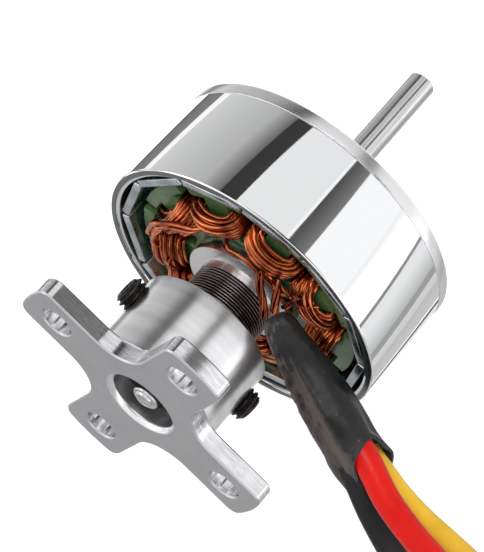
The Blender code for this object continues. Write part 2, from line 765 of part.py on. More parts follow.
def lead_sleeve():
    """The flattened sleeve, lofted through oval sections along its middle line."""
    line = [Vector(p) for p in SLEEVE_LINE]
    wide = Vector(SLEEVE_WIDE)
    form = bmesh.new()
    rings = []
    for i, (middle, (half_wide, half_deep)) in enumerate(zip(line, SLEEVE_HALVES)):
        ahead = line[min(i + 1, len(line) - 1)] - line[max(i - 1, 0)]
        deep = wide.cross(ahead).normalized() * half_deep
        across = ahead.cross(deep).normalized() * half_wide
        angles = [math.tau * k / SLEEVE_SIDES for k in range(SLEEVE_SIDES)]
        skin = [middle + across * math.cos(a) + deep * math.sin(a) for a in angles]
        rings.append([form.verts.new(point * MM) for point in skin])
    for low, high in zip(rings, rings[1:]):
        for k in range(SLEEVE_SIDES):
            n = (k + 1) % SLEEVE_SIDES
            form.faces.new((low[k], low[n], high[n], high[k]))
    form.faces.new(rings[0])
    form.faces.new(rings[-1])
    bmesh.ops.recalc_face_normals(form, faces=form.faces)
    mesh = bpy.data.meshes.new("lead_sleeve")
    form.to_mesh(mesh)
    form.free()
    mesh.shade_smooth()
    mesh.set_sharp_from_angle(angle=math.radians(50))
    place("lead_sleeve", mesh, SHRINK, STATOR)


def leads():
    """Three leads, each with a bullet connector and the sleeve over the connector's cup."""
    for color, route in LEAD_ROUTES.items():
        tube(f"lead_{color}", smooth(route, LEAD_STEP), LEAD_RADIUS, LEAD_LOOKS[color])
        down = axis_matrix((0, 0, -1), route[-1])
        bullet = [(0, BULLET[-1][1])] + [(r, h) for r, h in reversed(BULLET[:-1])] + [(0, BULLET[0][1])]
        turned(f"bullet_{color}", bullet, GOLD, STATOR, down, SMALL_ROUND)
        cover = [(r, h) for r, h in reversed(BULLET_SLEEVE)]
        turned(f"bullet_sleeve_{color}", cover, SHRINK, STATOR, down, SMALL_ROUND)
    for number, route in enumerate(TAIL_ROUTES, 1):
        tube(f"winding_tail_{number}", route, TAIL_RADIUS, COPPER)


cross_mount()
collar_screws()
bearing_tube()
for bearing_end, bearing_middle in BEARING_MIDDLES.items():
    bearing(bearing_end, bearing_middle)
stator_core()
coils()
flux_ring()
front_cap()
magnets()
shaft()
shaft_fittings()
lead_sleeve()
leads()
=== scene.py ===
"""The looks of a brushless outrunner motor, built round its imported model.

The shaft lies along Y, Z is up and the origin is the middle of the mount's back face. A place round the
shaft is an angle in degrees, from +X towards +Z. Lengths are in millimetres until MM makes them metres.
"""

import json
import math
import random

import bmesh
import bpy
from mathutils import Matrix, Vector, noise


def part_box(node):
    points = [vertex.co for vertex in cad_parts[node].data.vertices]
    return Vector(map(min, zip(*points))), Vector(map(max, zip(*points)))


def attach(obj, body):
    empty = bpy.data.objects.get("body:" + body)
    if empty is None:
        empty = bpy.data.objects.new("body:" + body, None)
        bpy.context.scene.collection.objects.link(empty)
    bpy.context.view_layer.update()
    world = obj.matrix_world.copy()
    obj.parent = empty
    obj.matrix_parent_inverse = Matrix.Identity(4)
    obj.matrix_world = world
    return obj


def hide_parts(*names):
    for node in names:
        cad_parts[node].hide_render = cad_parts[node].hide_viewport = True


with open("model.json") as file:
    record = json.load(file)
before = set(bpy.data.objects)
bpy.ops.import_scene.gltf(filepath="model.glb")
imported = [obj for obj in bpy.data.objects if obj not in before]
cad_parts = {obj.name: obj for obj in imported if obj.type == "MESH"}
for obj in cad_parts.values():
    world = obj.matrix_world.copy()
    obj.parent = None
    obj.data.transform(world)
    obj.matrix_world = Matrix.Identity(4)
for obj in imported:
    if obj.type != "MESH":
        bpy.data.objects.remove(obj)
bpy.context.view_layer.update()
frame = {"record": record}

MM = 0.001
RECORD = frame["record"]
BODY_OF = {node: body for body, nodes in RECORD["behaviour"]["bodies"].items() for node in nodes}
SLOT_OF = {part["node"]: part["material_slot"] for part in RECORD["subparts"]}


def lowest(node, axis):
    """A CAD node's lowest coordinate along an axis, in millimetres."""
    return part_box(node)[0]["XYZ".index(axis)] / MM


def highest(node, axis):
    """A CAD node's highest coordinate along an axis, in millimetres."""
    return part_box(node)[1]["XYZ".index(axis)] / MM


def ends(node):
    """Where a CAD node starts and stops along the shaft, in millimetres."""
    return lowest(node, "Y"), highest(node, "Y")


# Sizes read from the frame
BELL_RADIUS = highest("flux_ring", "X")
RIM_Y, SEAM_Y = ends("flux_ring")
HUB_TOP_Y = highest("front_cap", "Y")
SHAFT_RADIUS = highest("shaft", "X")
SHAFT_ENDS = ends("shaft")
CLIP_ENDS = ends("retaining_clip")
STACK_ENDS = ends("stator_core")
TUBE_ENDS = ends("bearing_tube")
FLANGE_RADIUS = highest("bearing_tube", "X")
COLLAR_END_Y = highest("cross_mount", "Y")
BEARING_WIDTH = highest("rear_bearing_outer_ring", "Y") - lowest("rear_bearing_outer_ring", "Y")
BEARING_RADIUS = highest("rear_bearing_outer_ring", "X")

# Sizes that the boxes don't show, as in the CAD
CAP_LOW_Y, CAP_FACE_Y = 23.44, 24.64
RING_WALL = 0.9
HUB_RADIUS = 3.6
WINDOWS = 4
WINDOW_RADII = (5.2, 11.6)
SPOKE_WIDTH = 3.4
MAGNETS, FIRST_MAGNET_DEG = 12, 28.0
MAGNET_SIZE = (0.8, 8.5, 6.1)
MAGNET_FACE = 11.7
TEETH, FIRST_TOOTH_DEG = 9, 13.0
STATOR_RADIUS = 11.2
SHOE_DEPTH, SHOE_HALF_DEG = 1.1, 16.2
STEM_WIDTH = 2.5
STATOR_HUB_RADIUS = 5.6
TUBE_RADIUS, TUBE_BORE_RADIUS = 3.75, 2.4
FLANGE_ENDS = (13.6, 14.8)
ARM_RADIUS, ARM_WIDTH, ARM_FILLET, ARM_CORNER = 12.95, 6.1, 3.75, 1.15
PLATE_THICKNESS = 1.75
WASHER_RADIUS, CLIP_RADIUS = 1.75, 2.3
HOLE_CIRCLE, HOLE_RADIUS = 9.75, 1.5
COLLAR_RADIUS = 6.24
COLLAR_FOOT_Y = 1.5
BORE_RADIUS, BORE_MOUTH = 3.1, 3.49
SET_SCREW_Y, SET_SCREW_ENDS, SET_SCREW_RADIUS = 6.65, (3.4, 7.4), 1.45
SET_SCREW_DEGS = (135, -45)
PITCH_RADIUS, BALL_RADIUS, BALLS = 2.1, 0.5, 7
GROOVE_RADIUS, GROOVE_HALF = 0.55, 0.42
GAP = 0.05

# Broken edges
PLATE_EDGE, COLLAR_EDGE, HUB_EDGE, MAGNET_EDGE = 0.14, 0.12, 0.18, 0.12
COAT_EDGE = 0.12
RIM_EDGE, RIM_STEP = 0.14, (0.3, 0.22)

# Steps in a full turn
BELL_ROUND, ROUND, SMALL_ROUND = 288, 144, 64

# The camera: where it stands, and which way its right and upper sides point
CAMERA_AT = (0.168511, -0.111268, 0.221290)
CAMERA_RIGHT = (0.76186, 0.60198, -0.23912)
CAMERA_UP = (-0.33651, 0.68328, 0.64799)
CAMERA_LENS, CAMERA_SENSOR = 234.92, 36.0


def placed(name, data):
    """A new object in the scene."""
    made = bpy.data.objects.new(name, data)
    bpy.context.scene.collection.objects.link(made)
    return made


def camera():
    """A long lens, above and to the right of the mount's back face."""
    data = bpy.data.cameras.new("camera")
    data.lens, data.sensor_width = CAMERA_LENS, CAMERA_SENSOR
    data.clip_start, data.clip_end = 0.01, 10
    made = placed("camera", data)
    right, up = Vector(CAMERA_RIGHT).normalized(), Vector(CAMERA_UP).normalized()
    turn = Matrix((right, up, right.cross(up))).transposed().to_4x4()
    made.matrix_world = Matrix.Translation(CAMERA_AT) @ turn
    bpy.context.scene.camera = made


# Nodes


def add(tree, kind, settings=None, **inputs):
    """A shader node, with settings and with inputs set or linked. An input in0 is the first one."""
    node = tree.nodes.new("ShaderNode" + kind)
    for key, value in (settings or {}).items():
        setattr(node, key, value)
    for key, value in inputs.items():
        place = int(key[2:]) if key[:2] == "in" and key[2:].isdigit() else key.replace("_", " ")
        if isinstance(value, bpy.types.NodeSocket):
            tree.links.new(value, node.inputs[place])
        else:
            node.inputs[place].default_value = value
    return node


def new_material(name, color, roughness, metallic=0.0, **sockets):
    """A Principled material. Returns it with its node tree and its surface node."""
    made = bpy.data.materials.new(name)
    made.use_nodes = True
    surface = made.node_tree.nodes["Principled BSDF"]
    surface.inputs["Base Color"].default_value = (*color, 1)
    surface.inputs["Roughness"].default_value = roughness
    surface.inputs["Metallic"].default_value = metallic
    for key, value in sockets.items():
        surface.inputs[key.replace("_", " ")].default_value = value
    return made, made.node_tree, surface


def local_point(tree):
    """The point in the piece's own coordinates."""
    return add(tree, "TexCoord").outputs["Object"]


def stretched_noise(tree, point, scales, detail=3.0, roughness=0.55):
    """Noise on a point, with its own number of grains per metre along each axis."""
    stretch = add(tree, "Mapping", Vector=point, Scale=scales)
    grain = add(tree, "TexNoise", Vector=stretch.outputs[0], Scale=1.0, Detail=detail, Roughness=roughness)
    return grain.outputs["Fac"]


def turned_noise(tree, pitch, detail=2.0):
    """Noise that only changes along and away from the local Z axis, as a lathe's marks do."""
    split = add(tree, "SeparateXYZ", Vector=local_point(tree))
    flat = add(tree, "CombineXYZ", X=split.outputs["X"], Y=split.outputs["Y"])
    radius = add(tree, "VectorMath", {"operation": "LENGTH"}, in0=flat.outputs[0]).outputs["Value"]
    swept = add(tree, "CombineXYZ", X=radius, Z=split.outputs["Z"]).outputs[0]
    return stretched_noise(tree, swept, (1 / (pitch * MM),) * 3, detail)


def ranged(tree, value, low, high, start=0.35, end=0.65):
    """A value spread between two limits."""
    return add(
        tree, "MapRange", Value=value, From_Min=start, From_Max=end, To_Min=low, To_Max=high
    ).outputs["Result"]


def mixed(tree, factor, dark, light):
    """A colour between two colours."""
    mix = add(tree, "Mix", {"data_type": "RGBA"}, Factor=factor)
    for place, color in ((6, dark), (7, light)):
        if isinstance(color, bpy.types.NodeSocket):
            tree.links.new(color, mix.inputs[place])
        else:
            mix.inputs[place].default_value = (*color, 1)
    return mix.outputs[2]


def toned(tree, value, dark, light, start=0.35, end=0.65):
    """A colour that goes from dark to light as a value rises."""
    return mixed(tree, ranged(tree, value, 0, 1, start, end), dark, light)


def painted(tree, surface, color, roughness):
    """Gives a surface a colour and a roughness that vary."""
    tree.links.new(color, surface.inputs["Base Color"])
    tree.links.new(roughness, surface.inputs["Roughness"])


def bumped(tree, surface, *layers):
    """Adds layers of bump, each a height and how deep it is in millimetres."""
    normal = None
    for height, depth in layers:
        bump = add(tree, "Bump", Height=height, Distance=depth * MM, Strength=1.0)
        if normal:
            tree.links.new(normal, bump.inputs["Normal"])
        normal = bump.outputs["Normal"]
    tree.links.new(normal, surface.inputs["Normal"])


# Materials


def turned_metal(name, color, roughness, pitch, depth, spread=0.08, dark=0.85):
    """Metal from a lathe: fine rings in its surface, its tone and its gloss."""
    made, tree, surface = new_material(name, color, roughness, 1.0)
    rings = turned_noise(tree, pitch)
    wide = turned_noise(tree, pitch * 9, 1.0)
    tone = toned(tree, wide, [c * dark for c in color], color)
    painted(tree, surface, tone, ranged(tree, rings, roughness, roughness + spread))
    bumped(tree, surface, (rings, depth))
    return made


def milled_metal(name):
    """The mount: bead-satin faces, with an end mill's marks along its edges."""
    color = (0.60, 0.60, 0.615)
    made, tree, surface = new_material(name, color, 0.32, 1.0)
    point = local_point(tree)
    facing = add(tree, "SeparateXYZ", Vector=add(tree, "TexCoord").outputs["Normal"]).outputs["Z"]
    side = ranged(tree, add(tree, "Math", {"operation": "ABSOLUTE"}, in0=facing).outputs[0], 1, 0, 0.3, 0.6)
    satin = stretched_noise(tree, point, (9000, 9000, 9000), 2.0)
    marks = stretched_noise(tree, point, (700, 700, 6500), 3.0, 0.7)
    cloud = stretched_noise(tree, point, (260, 260, 260), 3.0)
    edge_height = add(tree, "Math", {"operation": "MULTIPLY"}, in0=marks, in1=side).outputs[0]
    satin_tone = toned(tree, cloud, (0.53, 0.53, 0.545), (0.57, 0.57, 0.585))
    side_tone = toned(tree, marks, (0.62, 0.62, 0.64), (0.93, 0.93, 0.95), 0.3, 0.7)
    painted(tree, surface, mixed(tree, side, satin_tone, side_tone), ranged(tree, side, 0.36, 0.16, 0, 1))
    bumped(tree, surface, (satin, 0.0016), (edge_height, 0.006))
    return made


def chrome(name):
    """The bell's mirror: nearly clean, with faint rings and a few hairline marks."""
    color = (0.90, 0.905, 0.915)
    made, tree, surface = new_material(name, color, 0.035, 1.0)
    rings = turned_noise(tree, 0.9, 3.0)
    smear = stretched_noise(tree, local_point(tree), (120, 120, 240), 4.0)
    tree.links.new(ranged(tree, smear, 0.025, 0.06), surface.inputs["Roughness"])
    bumped(tree, surface, (rings, 0.0006))
    return made


def ground_steel(name):
    """The shaft: polished, with fine rings and slight streaks along it."""
    color = (0.66, 0.66, 0.67)
    made, tree, surface = new_material(name, color, 0.14, 1.0)
    rings = turned_noise(tree, 0.12)
    streaks = stretched_noise(tree, local_point(tree), (2600, 2600, 90), 3.0)
    tone = toned(tree, streaks, (0.52, 0.52, 0.53), (0.74, 0.74, 0.75))
    painted(tree, surface, tone, ranged(tree, streaks, 0.1, 0.2))
    bumped(tree, surface, (rings, 0.0012))
    return made


def oxide_steel(name):
    """Black screws: an oily black with brown where the threads are worn."""
    made, tree, surface = new_material(name, (0.02, 0.017, 0.016), 0.42, 0.6)
    rub = stretched_noise(tree, local_point(tree), (2600, 2600, 2600), 4.0)
    tone = toned(tree, rub, (0.014, 0.012, 0.012), (0.075, 0.055, 0.045), 0.45, 0.75)
    painted(tree, surface, tone, ranged(tree, rub, 0.34, 0.55))
    bumped(tree, surface, (rub, 0.01))
    return made


def nickel(name):
    """Plated magnets: blue-grey, with a soft sheen and faint stains."""
    made, tree, surface = new_material(name, (0.52, 0.56, 0.59), 0.3, 1.0)
    point = local_point(tree)
    stain = stretched_noise(tree, point, (420, 420, 420), 4.0)
    grain = stretched_noise(tree, point, (7000, 900, 7000), 2.0)
    tone = toned(tree, stain, (0.40, 0.44, 0.47), (0.62, 0.66, 0.69))
    painted(tree, surface, tone, ranged(tree, stain, 0.2, 0.38))
    bumped(tree, surface, (grain, 0.002))
    return made


def epoxy(name):
    """The stator's coat: green and glossy, thin enough at places to show paler green."""
    made, tree, surface = new_material(name, (0.10, 0.23, 0.08), 0.3, Coat_Weight=0.3, Coat_Roughness=0.1)
    point = local_point(tree)
    pool = stretched_noise(tree, point, (380, 380, 380), 3.0)
    peel = stretched_noise(tree, point, (2200, 2200, 2200), 2.0)
    tone = toned(tree, pool, (0.022, 0.062, 0.018), (0.06, 0.125, 0.042))
    painted(tree, surface, tone, ranged(tree, peel, 0.24, 0.4))
    bumped(tree, surface, (peel, 0.008), (pool, 0.04))
    return made


def enamelled_copper(name, dark=(0.24, 0.038, 0.010), light=(0.92, 0.29, 0.105)):
    """Magnet wire: copper under orange-brown enamel, darker in places."""
    coat = {"Coat_Weight": 0.35, "Coat_Roughness": 0.08, "Coat_Tint": (1.0, 0.72, 0.45, 1.0)}
    made, tree, surface = new_material(name, light, 0.2, 1.0, **coat)
    point = local_point(tree)
    tone = stretched_noise(tree, point, (520, 520, 520), 4.0)
    painted(tree, surface, toned(tree, tone, dark, light), ranged(tree, tone, 0.26, 0.15))
    bumped(tree, surface, (stretched_noise(tree, point, (1800, 1800, 1800), 2.0), 0.01))
    return made


PAINTED_LIGHT_SIDE = (-0.79, -0.57, 0.22)  # painted light: the sleeve is painted paler on the side that faces this way


def heat_shrink(name, gloss=0.42, painted_light=False):
    """Black polyolefin tube: satin, finely wrinkled, with dust in its grain, and, where asked, painted light
    that makes one side paler.
    """
    made, tree, surface = new_material(name, (0.012, 0.0115, 0.0115), gloss, 0.0)
    surface.inputs["Specular IOR Level"].default_value = 0.27
    point = local_point(tree)
    cloud = stretched_noise(tree, point, (300, 300, 300), 4.0)
    grain = stretched_noise(tree, point, (5200, 5200, 5200), 3.0)
    specks = stretched_noise(tree, point, (2400, 2400, 2400), 1.0)
    base = toned(tree, cloud, (0.006, 0.0055, 0.0055), (0.013, 0.012, 0.0115))
    dust_and_painted_light = mixed(tree, ranged(tree, specks, 0, 0.35, 0.76, 0.79), base, (0.14, 0.13, 0.12))
    # Painted light: faces turned one way are painted a paler brown-grey in patches, as if lit from that
    # side.
    if painted_light:
        facing = add(tree, "TexCoord").outputs["Normal"]
        toward = add(tree, "VectorMath", {"operation": "DOT_PRODUCT"}, in0=facing, in1=PAINTED_LIGHT_SIDE)
        share = ranged(tree, toward.outputs["Value"], 0, 1, 0.3, 0.8)
        patchy = ranged(tree, cloud, 0.55, 1.0)
        painted_light_mask = add(tree, "Math", {"operation": "MULTIPLY"}, in0=patchy, in1=share).outputs[0]
        dust_and_painted_light = mixed(tree, painted_light_mask, dust_and_painted_light, (0.085, 0.066, 0.058))
    painted(tree, surface, dust_and_painted_light, ranged(tree, cloud, gloss - 0.07, gloss + 0.1))
    bumped(tree, surface, (grain, 0.006), (cloud, 0.05))
    return made


def silicone(name, dark, light):
    """Lead insulation: soft, slightly glossy, with faint flow lines along it."""
    made, tree, surface = new_material(name, light, 0.34, 0.0, Subsurface_Weight=0.08)
    surface.inputs["Subsurface Radius"].default_value = (1.0, 0.35, 0.2)
    surface.inputs["Subsurface Scale"].default_value = 0.4 * MM
    surface.inputs["Specular IOR Level"].default_value = 0.12
    point = local_point(tree)
    cloud = stretched_noise(tree, point, (260, 260, 160), 3.0)
    fine = stretched_noise(tree, point, (3000, 3000, 900), 2.0)
    painted(tree, surface, toned(tree, cloud, dark, light), ranged(tree, fine, 0.28, 0.42))
    bumped(tree, surface, (fine, 0.006), (cloud, 0.04))
    return made


LOOKS = {
    "mount_aluminium": milled_metal("milled_aluminium"),
    "turned_aluminium": turned_metal("turned_aluminium", (0.88, 0.88, 0.895), 0.22, 0.12, 0.0012, 0.05),
    "bell_chrome": chrome("mirror_chrome"),
    "shaft_steel": ground_steel("ground_steel"),
    "bearing_steel": turned_metal("bearing_steel", (0.58, 0.58, 0.59), 0.14, 0.1, 0.0015),
    "black_steel": oxide_steel("black_oxide"),
    "magnet_nickel": nickel("nickel_plate"),
    "green_epoxy": epoxy("green_epoxy_coat"),
    "copper_wire": enamelled_copper("enamelled_copper"),
    # Painted shade: a darker copper for the winding tails.
    "copper_painted_shade": enamelled_copper("copper_enamel_painted_shade", (0.07, 0.014, 0.006), (0.42, 0.11, 0.04)),
    "spacer_brass": turned_metal("turned_brass", (0.74, 0.55, 0.24), 0.2, 0.12, 0.002),
    "gold_plate": turned_metal("gold_plating", (0.93, 0.66, 0.24), 0.16, 0.14, 0.002, 0.06, 0.92),
    "heat_shrink": heat_shrink("heat_shrink_tube"),
    # The sleeve's tube, with painted light that makes the side facing one way paler.
    "heat_shrink_painted_light": heat_shrink("heat_shrink_tube_painted_light", painted_light=True),
    "red_silicone": silicone("red_silicone", (0.44, 0.005, 0.003), (0.52, 0.008, 0.005)),
    "black_silicone": silicone("black_silicone", (0.008, 0.008, 0.008), (0.016, 0.015, 0.015)),
    "yellow_silicone": silicone("yellow_silicone", (0.52, 0.31, 0.02), (0.62, 0.38, 0.03)),
}


CUT_STEEL = turned_metal("cut_steel", (0.24, 0.24, 0.245), 0.26, 0.1, 0.004)
NECK_METAL = turned_metal("neck_metal", (0.46, 0.45, 0.45), 0.2, 0.12, 0.0012, 0.05)
# Painted shade: a near-black metal for the neck's grooves.
GROOVE_PAINTED_SHADE = turned_metal("groove_painted_shade", (0.035, 0.032, 0.032), 0.4, 0.12, 0.0012, 0.05)

# Shapes


def polar(radius, degrees, y):
    """A point round the shaft, in millimetres."""
    angle = math.radians(degrees)
    return Vector((radius * math.cos(angle), y, radius * math.sin(angle)))


def axis_matrix(direction, at=(0, 0, 0)):
    """Turns local Z to a direction and moves the origin to a point in millimetres."""
    turn = Vector(direction).to_track_quat("Z", "Y").to_matrix().to_4x4()
    return Matrix.Translation(Vector(at) * MM) @ turn


ALONG_SHAFT = Matrix.Rotation(-math.pi / 2, 4, "X")


def arc(middle, radius, first, last, steps):
    """Points of an arc in a plane, from one angle in degrees to another."""
    angles = [math.radians(first + (last - first) * i / steps) for i in range(steps + 1)]
    return [(middle[0] + radius * math.cos(a), middle[1] + radius * math.sin(a)) for a in angles]


def turned_about(points, degrees):
    """Plane points turned about the origin."""
    c, s = math.cos(math.radians(degrees)), math.sin(math.radians(degrees))
    return [(x * c - y * s, x * s + y * c) for x, y in points]


def eased(outline, size, steps=3):
    """An outline with each of its corners rounded by up to a size. Points on the axis stay."""
    made = []
    for i, at in enumerate(outline):
        corner = Vector(at)
        back, on = Vector(outline[i - 1]) - corner, Vector(outline[(i + 1) % len(outline)]) - corner
        if corner.x == 0 or back.angle(on) > math.radians(155):
            made.append(corner)
            continue
        cut = min(size, back.length * 0.45, on.length * 0.45)
        first, last = corner + back.normalized() * cut, corner + on.normalized() * cut
        for k in range(steps + 1):
            t = k / steps
            made.append(first * (1 - t) ** 2 + corner * 2 * t * (1 - t) + last * t * t)
    return [tuple(p) for p in made]


def revolved(outline, steps=ROUND):
    """A mesh turned about local Z from (radius, height) points. One that starts on the axis is solid."""
    form = bmesh.new()
    rings = []
    for radius, height in outline:
        turns = [math.tau * k / steps for k in range(steps)] if radius > 0 else [0.0]
        points = [Vector((radius * math.cos(a), radius * math.sin(a), height)) for a in turns]
        rings.append([form.verts.new(point * MM) for point in points])
    closed = rings[:1] if len(rings[0]) > 1 else []
    for low, high in zip(rings, rings[1:] + closed):
        for k in range(steps):
            n = k + 1
            corners = [low[k % len(low)], low[n % len(low)], high[n % len(high)], high[k % len(high)]]
            corners = list(dict.fromkeys(corners))
            if len(corners) > 2:
                form.faces.new(corners)
    bmesh.ops.recalc_face_normals(form, faces=form.faces)
    return form


def as_object(name, form, sharp=30.0):
    """A smooth shaded object from a bmesh or a mesh."""
    if isinstance(form, bmesh.types.BMesh):
        mesh = bpy.data.meshes.new(name)
        form.to_mesh(mesh)
        form.free()
    else:
        mesh = form
    mesh.shade_smooth()
    mesh.set_sharp_from_angle(angle=math.radians(sharp))
    return placed(name, mesh)


def plated(name, loops, low, high, chamfer, rounds=0):
    """A flat mesh about local Z from closed outlines, with its edges broken."""
    curve = bpy.data.curves.new(name, "CURVE")
    curve.dimensions, curve.fill_mode = "2D", "BOTH"
    curve.extrude = ((high - low) / 2 - chamfer) * MM
    curve.bevel_depth, curve.bevel_resolution, curve.offset = chamfer * MM, rounds, -chamfer * MM
    for loop in loops:
        spline = curve.splines.new("POLY")
        spline.points.add(len(loop) - 1)
        for point, (x, y) in zip(spline.points, loop):
            point.co = (x * MM, y * MM, 0, 1)
        spline.use_cyclic_u = True
    drawn = placed(name, curve)
    mesh = shown_mesh(drawn)
    mesh.transform(Matrix.Translation((0, 0, (low + high) / 2 * MM)))
    bpy.data.objects.remove(drawn)
    return as_object(name, mesh, 25)


def shown_mesh(made):
    """An object's welded mesh with its modifiers."""
    bpy.context.view_layer.update()
    mesh = bpy.data.meshes.new_from_object(made.evaluated_get(bpy.context.evaluated_depsgraph_get()))
    form = bmesh.new()
    form.from_mesh(mesh)
    bmesh.ops.remove_doubles(form, verts=form.verts, dist=1e-7)
    form.to_mesh(mesh)
    form.free()
    return mesh


def combined(made, others, operation, sharp=30.0):
    """A piece united with, or cut by, other objects, which are used up."""
    for other in others:
        step = made.modifiers.new("combine", "BOOLEAN")
        step.operation, step.solver, step.object = operation, "EXACT", other
    mesh = shown_mesh(made)
    made.modifiers.clear()
    made.data = mesh
    mesh.shade_smooth()
    mesh.set_sharp_from_angle(angle=math.radians(sharp))
    for other in others:
        bpy.data.objects.remove(other)
    return made


def joined_to(made, node, look=None):
    """A piece that goes with a CAD node: same body and finish."""
    made.data.materials.clear()
    made.data.materials.append(look or LOOKS[SLOT_OF[node]])
    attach(made, BODY_OF[node])
    return made


def dressed(made, node, look=None, matrix=None):
    """Puts a piece in place of a CAD node, on that node's body and with its finish."""
    if matrix:
        made.matrix_world = matrix
    joined_to(made, node, look)
    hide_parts(node)
    return made


def refaced(made, look, chosen):
    """Gives another look to the faces that a test of radius and height picks."""
    made.data.materials.append(look)
    for face in made.data.polygons:
        if chosen(math.hypot(face.center.x, face.center.y) / MM, face.center.z / MM):
            face.material_index = len(made.data.materials) - 1


def skinned(form, rings):
    """Faces from ring to ring, with a lid at each end."""
    for low, high in zip(rings, rings[1:]):
        for k in range(len(low)):
            n = (k + 1) % len(low)
            form.faces.new((low[k], low[n], high[n], high[k]))
    form.faces.new(rings[0])
    form.faces.new(rings[-1])
    bmesh.ops.recalc_face_normals(form, faces=form.faces)


def wire(name, points, radius, sides=3):
    """A round wire along points in millimetres, with closed ends."""
    curve = bpy.data.curves.new(name, "CURVE")
    curve.dimensions = "3D"
    curve.bevel_depth, curve.bevel_resolution, curve.use_fill_caps = radius * MM, sides, True
    spline = curve.splines.new("POLY")
    spline.points.add(len(points) - 1)
    for point, at in zip(spline.points, points):
        point.co = (*(Vector(at) * MM), 1)
    spline.use_smooth = True
    return placed(name, curve)


def smooth(points, step):
    """Points about a step apart on a smooth curve through a route's points."""
    route = [Vector(p) for p in points]
    ends = [2 * route[0] - route[1], *route, 2 * route[-1] - route[-2]]
    dense = []
    for a, b, c, d in zip(ends, ends[1:], ends[2:], ends[3:]):
        for i in range(8):
            t = i / 8
            cubic = (3 * b - a - 3 * c + d) * t**3
            dense.append(0.5 * (2 * b + (c - a) * t + (2 * a - 5 * b + 4 * c - d) * t**2 + cubic))
    dense.append(route[-1])
    length = sum((q - p).length for p, q in zip(dense, dense[1:]))
    count = max(2, round(length / step))
    made, gone, target = [dense[0]], 0.0, length / count
    for p, q in zip(dense, dense[1:]):
        piece = (q - p).length
        while gone + piece >= target * len(made) and len(made) < count:
            made.append(p.lerp(q, (target * len(made) - gone) / piece))
        gone += piece
    return [*made, dense[-1]]


# Leads: the routes of the CAD, from the sleeve's mouth to the connectors
LEAD_RADIUS = 1.2
LEAD_STEP = 1.0
LEAD_ROUTES = {
    "red": [
        (15.0, 8.6, -6.6), (15.9, 8.2, -7.3), (16.8, 7.7, -8.1), (18.3, 6.9, -9.8), (19.8, 6.5, -11.6),
        (21.1, 6.4, -13.5), (22.3, 6.6, -15.9), (23.2, 6.8, -18.8), (23.8, 6.9, -22.4),
        (24.2, 7.0, -27.0), (24.5, 7.0, -33.0), (24.6, 7.0, -40.0), (24.6, 7.0, -47.0),
        (24.6, 7.0, -54.0), (24.6, 7.0, -60.6),
    ],
    "black": [
        (13.5, 8.2, -8.6), (14.2, 7.8, -9.2), (15.3, 7.1, -10.4), (16.4, 6.4, -11.8),
        (17.5, 5.9, -13.7), (18.3, 5.7, -16.0), (18.8, 5.5, -18.9), (19.0, 5.4, -22.6),
        (19.1, 5.3, -27.0), (19.2, 5.2, -33.0), (19.2, 5.2, -40.0), (19.2, 5.2, -47.0),
        (19.2, 5.2, -53.5), (19.2, 5.2, -59.3),
    ],
    "yellow": [
        (13.6, 10.3, -9.9), (14.2, 10.0, -10.4), (15.3, 9.7, -11.3), (16.9, 9.3, -12.9),
        (18.8, 9.2, -15.0), (20.8, 9.6, -17.8), (22.0, 10.3, -20.9), (22.7, 11.2, -24.6),
        (23.2, 12.1, -29.0), (23.5, 12.8, -34.4), (23.6, 13.1, -40.5), (23.6, 13.2, -47.0),
        (23.6, 13.2, -54.0), (23.6, 13.2, -60.3),
    ],
}
BULLET = [
    (2.05, 0.3), (2.05, 6.0), (1.55, 6.4), (1.55, 7.2), (1.8, 8.6), (1.85, 10.5), (1.7, 12.6),
    (1.5, 13.4), (1.1, 14.0), (0.0, 14.2),
]
BULLET_SLEEVE = [(1.35, -2.5), (1.6, -2.5), (2.5, -0.2), (2.5, 4.2), (2.2, 4.2), (2.2, 0.0)]
SLOTS_IN_BULLET, SLOT_SIZE, SLOT_MIDDLE = 2, (6, 0.28, 6.4), 11.1


def bullet(color, down):
    """A gold bullet connector: a closed cup and a slotted spring pin."""
    outline = [(0, BULLET[-1][1]), *reversed(BULLET[:-1]), (0, BULLET[0][1])]
    made = as_object(f"bullet_{color}_pin", revolved(eased(outline, 0.25, 4), SMALL_ROUND))
    cuts = []
    for k in range(SLOTS_IN_BULLET):
        bpy.ops.mesh.primitive_cube_add(size=1)
        cut = bpy.context.active_object
        cut.data.transform(Matrix.Diagonal((*(Vector(SLOT_SIZE) * MM), 1)))
        turn = Matrix.Rotation(math.pi / SLOTS_IN_BULLET * k, 4, "Z")
        cut.matrix_world = Matrix.Translation((0, 0, SLOT_MIDDLE * MM)) @ turn
        cuts.append(cut)
    return dressed(combined(made, cuts, "DIFFERENCE"), f"bullet_{color}", matrix=down)


def leads():
    """Three silicone leads, each with its connector and the shrunk tube over the joint."""
    for color, route in LEAD_ROUTES.items():
        line = smooth(route, LEAD_STEP)
        lead = wire(f"lead_{color}_cord", line, LEAD_RADIUS, 6)
        dressed(lead, f"lead_{color}")
        lead.visible_glossy = False  # so that the mirror bell shows none of them
        down = axis_matrix((0, 0, -1), route[-1])
        pin = bullet(color, down)
        cover = as_object(f"bullet_sleeve_{color}_tube", revolved(eased(BULLET_SLEEVE, 0.3, 4), SMALL_ROUND))
        dressed(cover, f"bullet_sleeve_{color}", matrix=down)


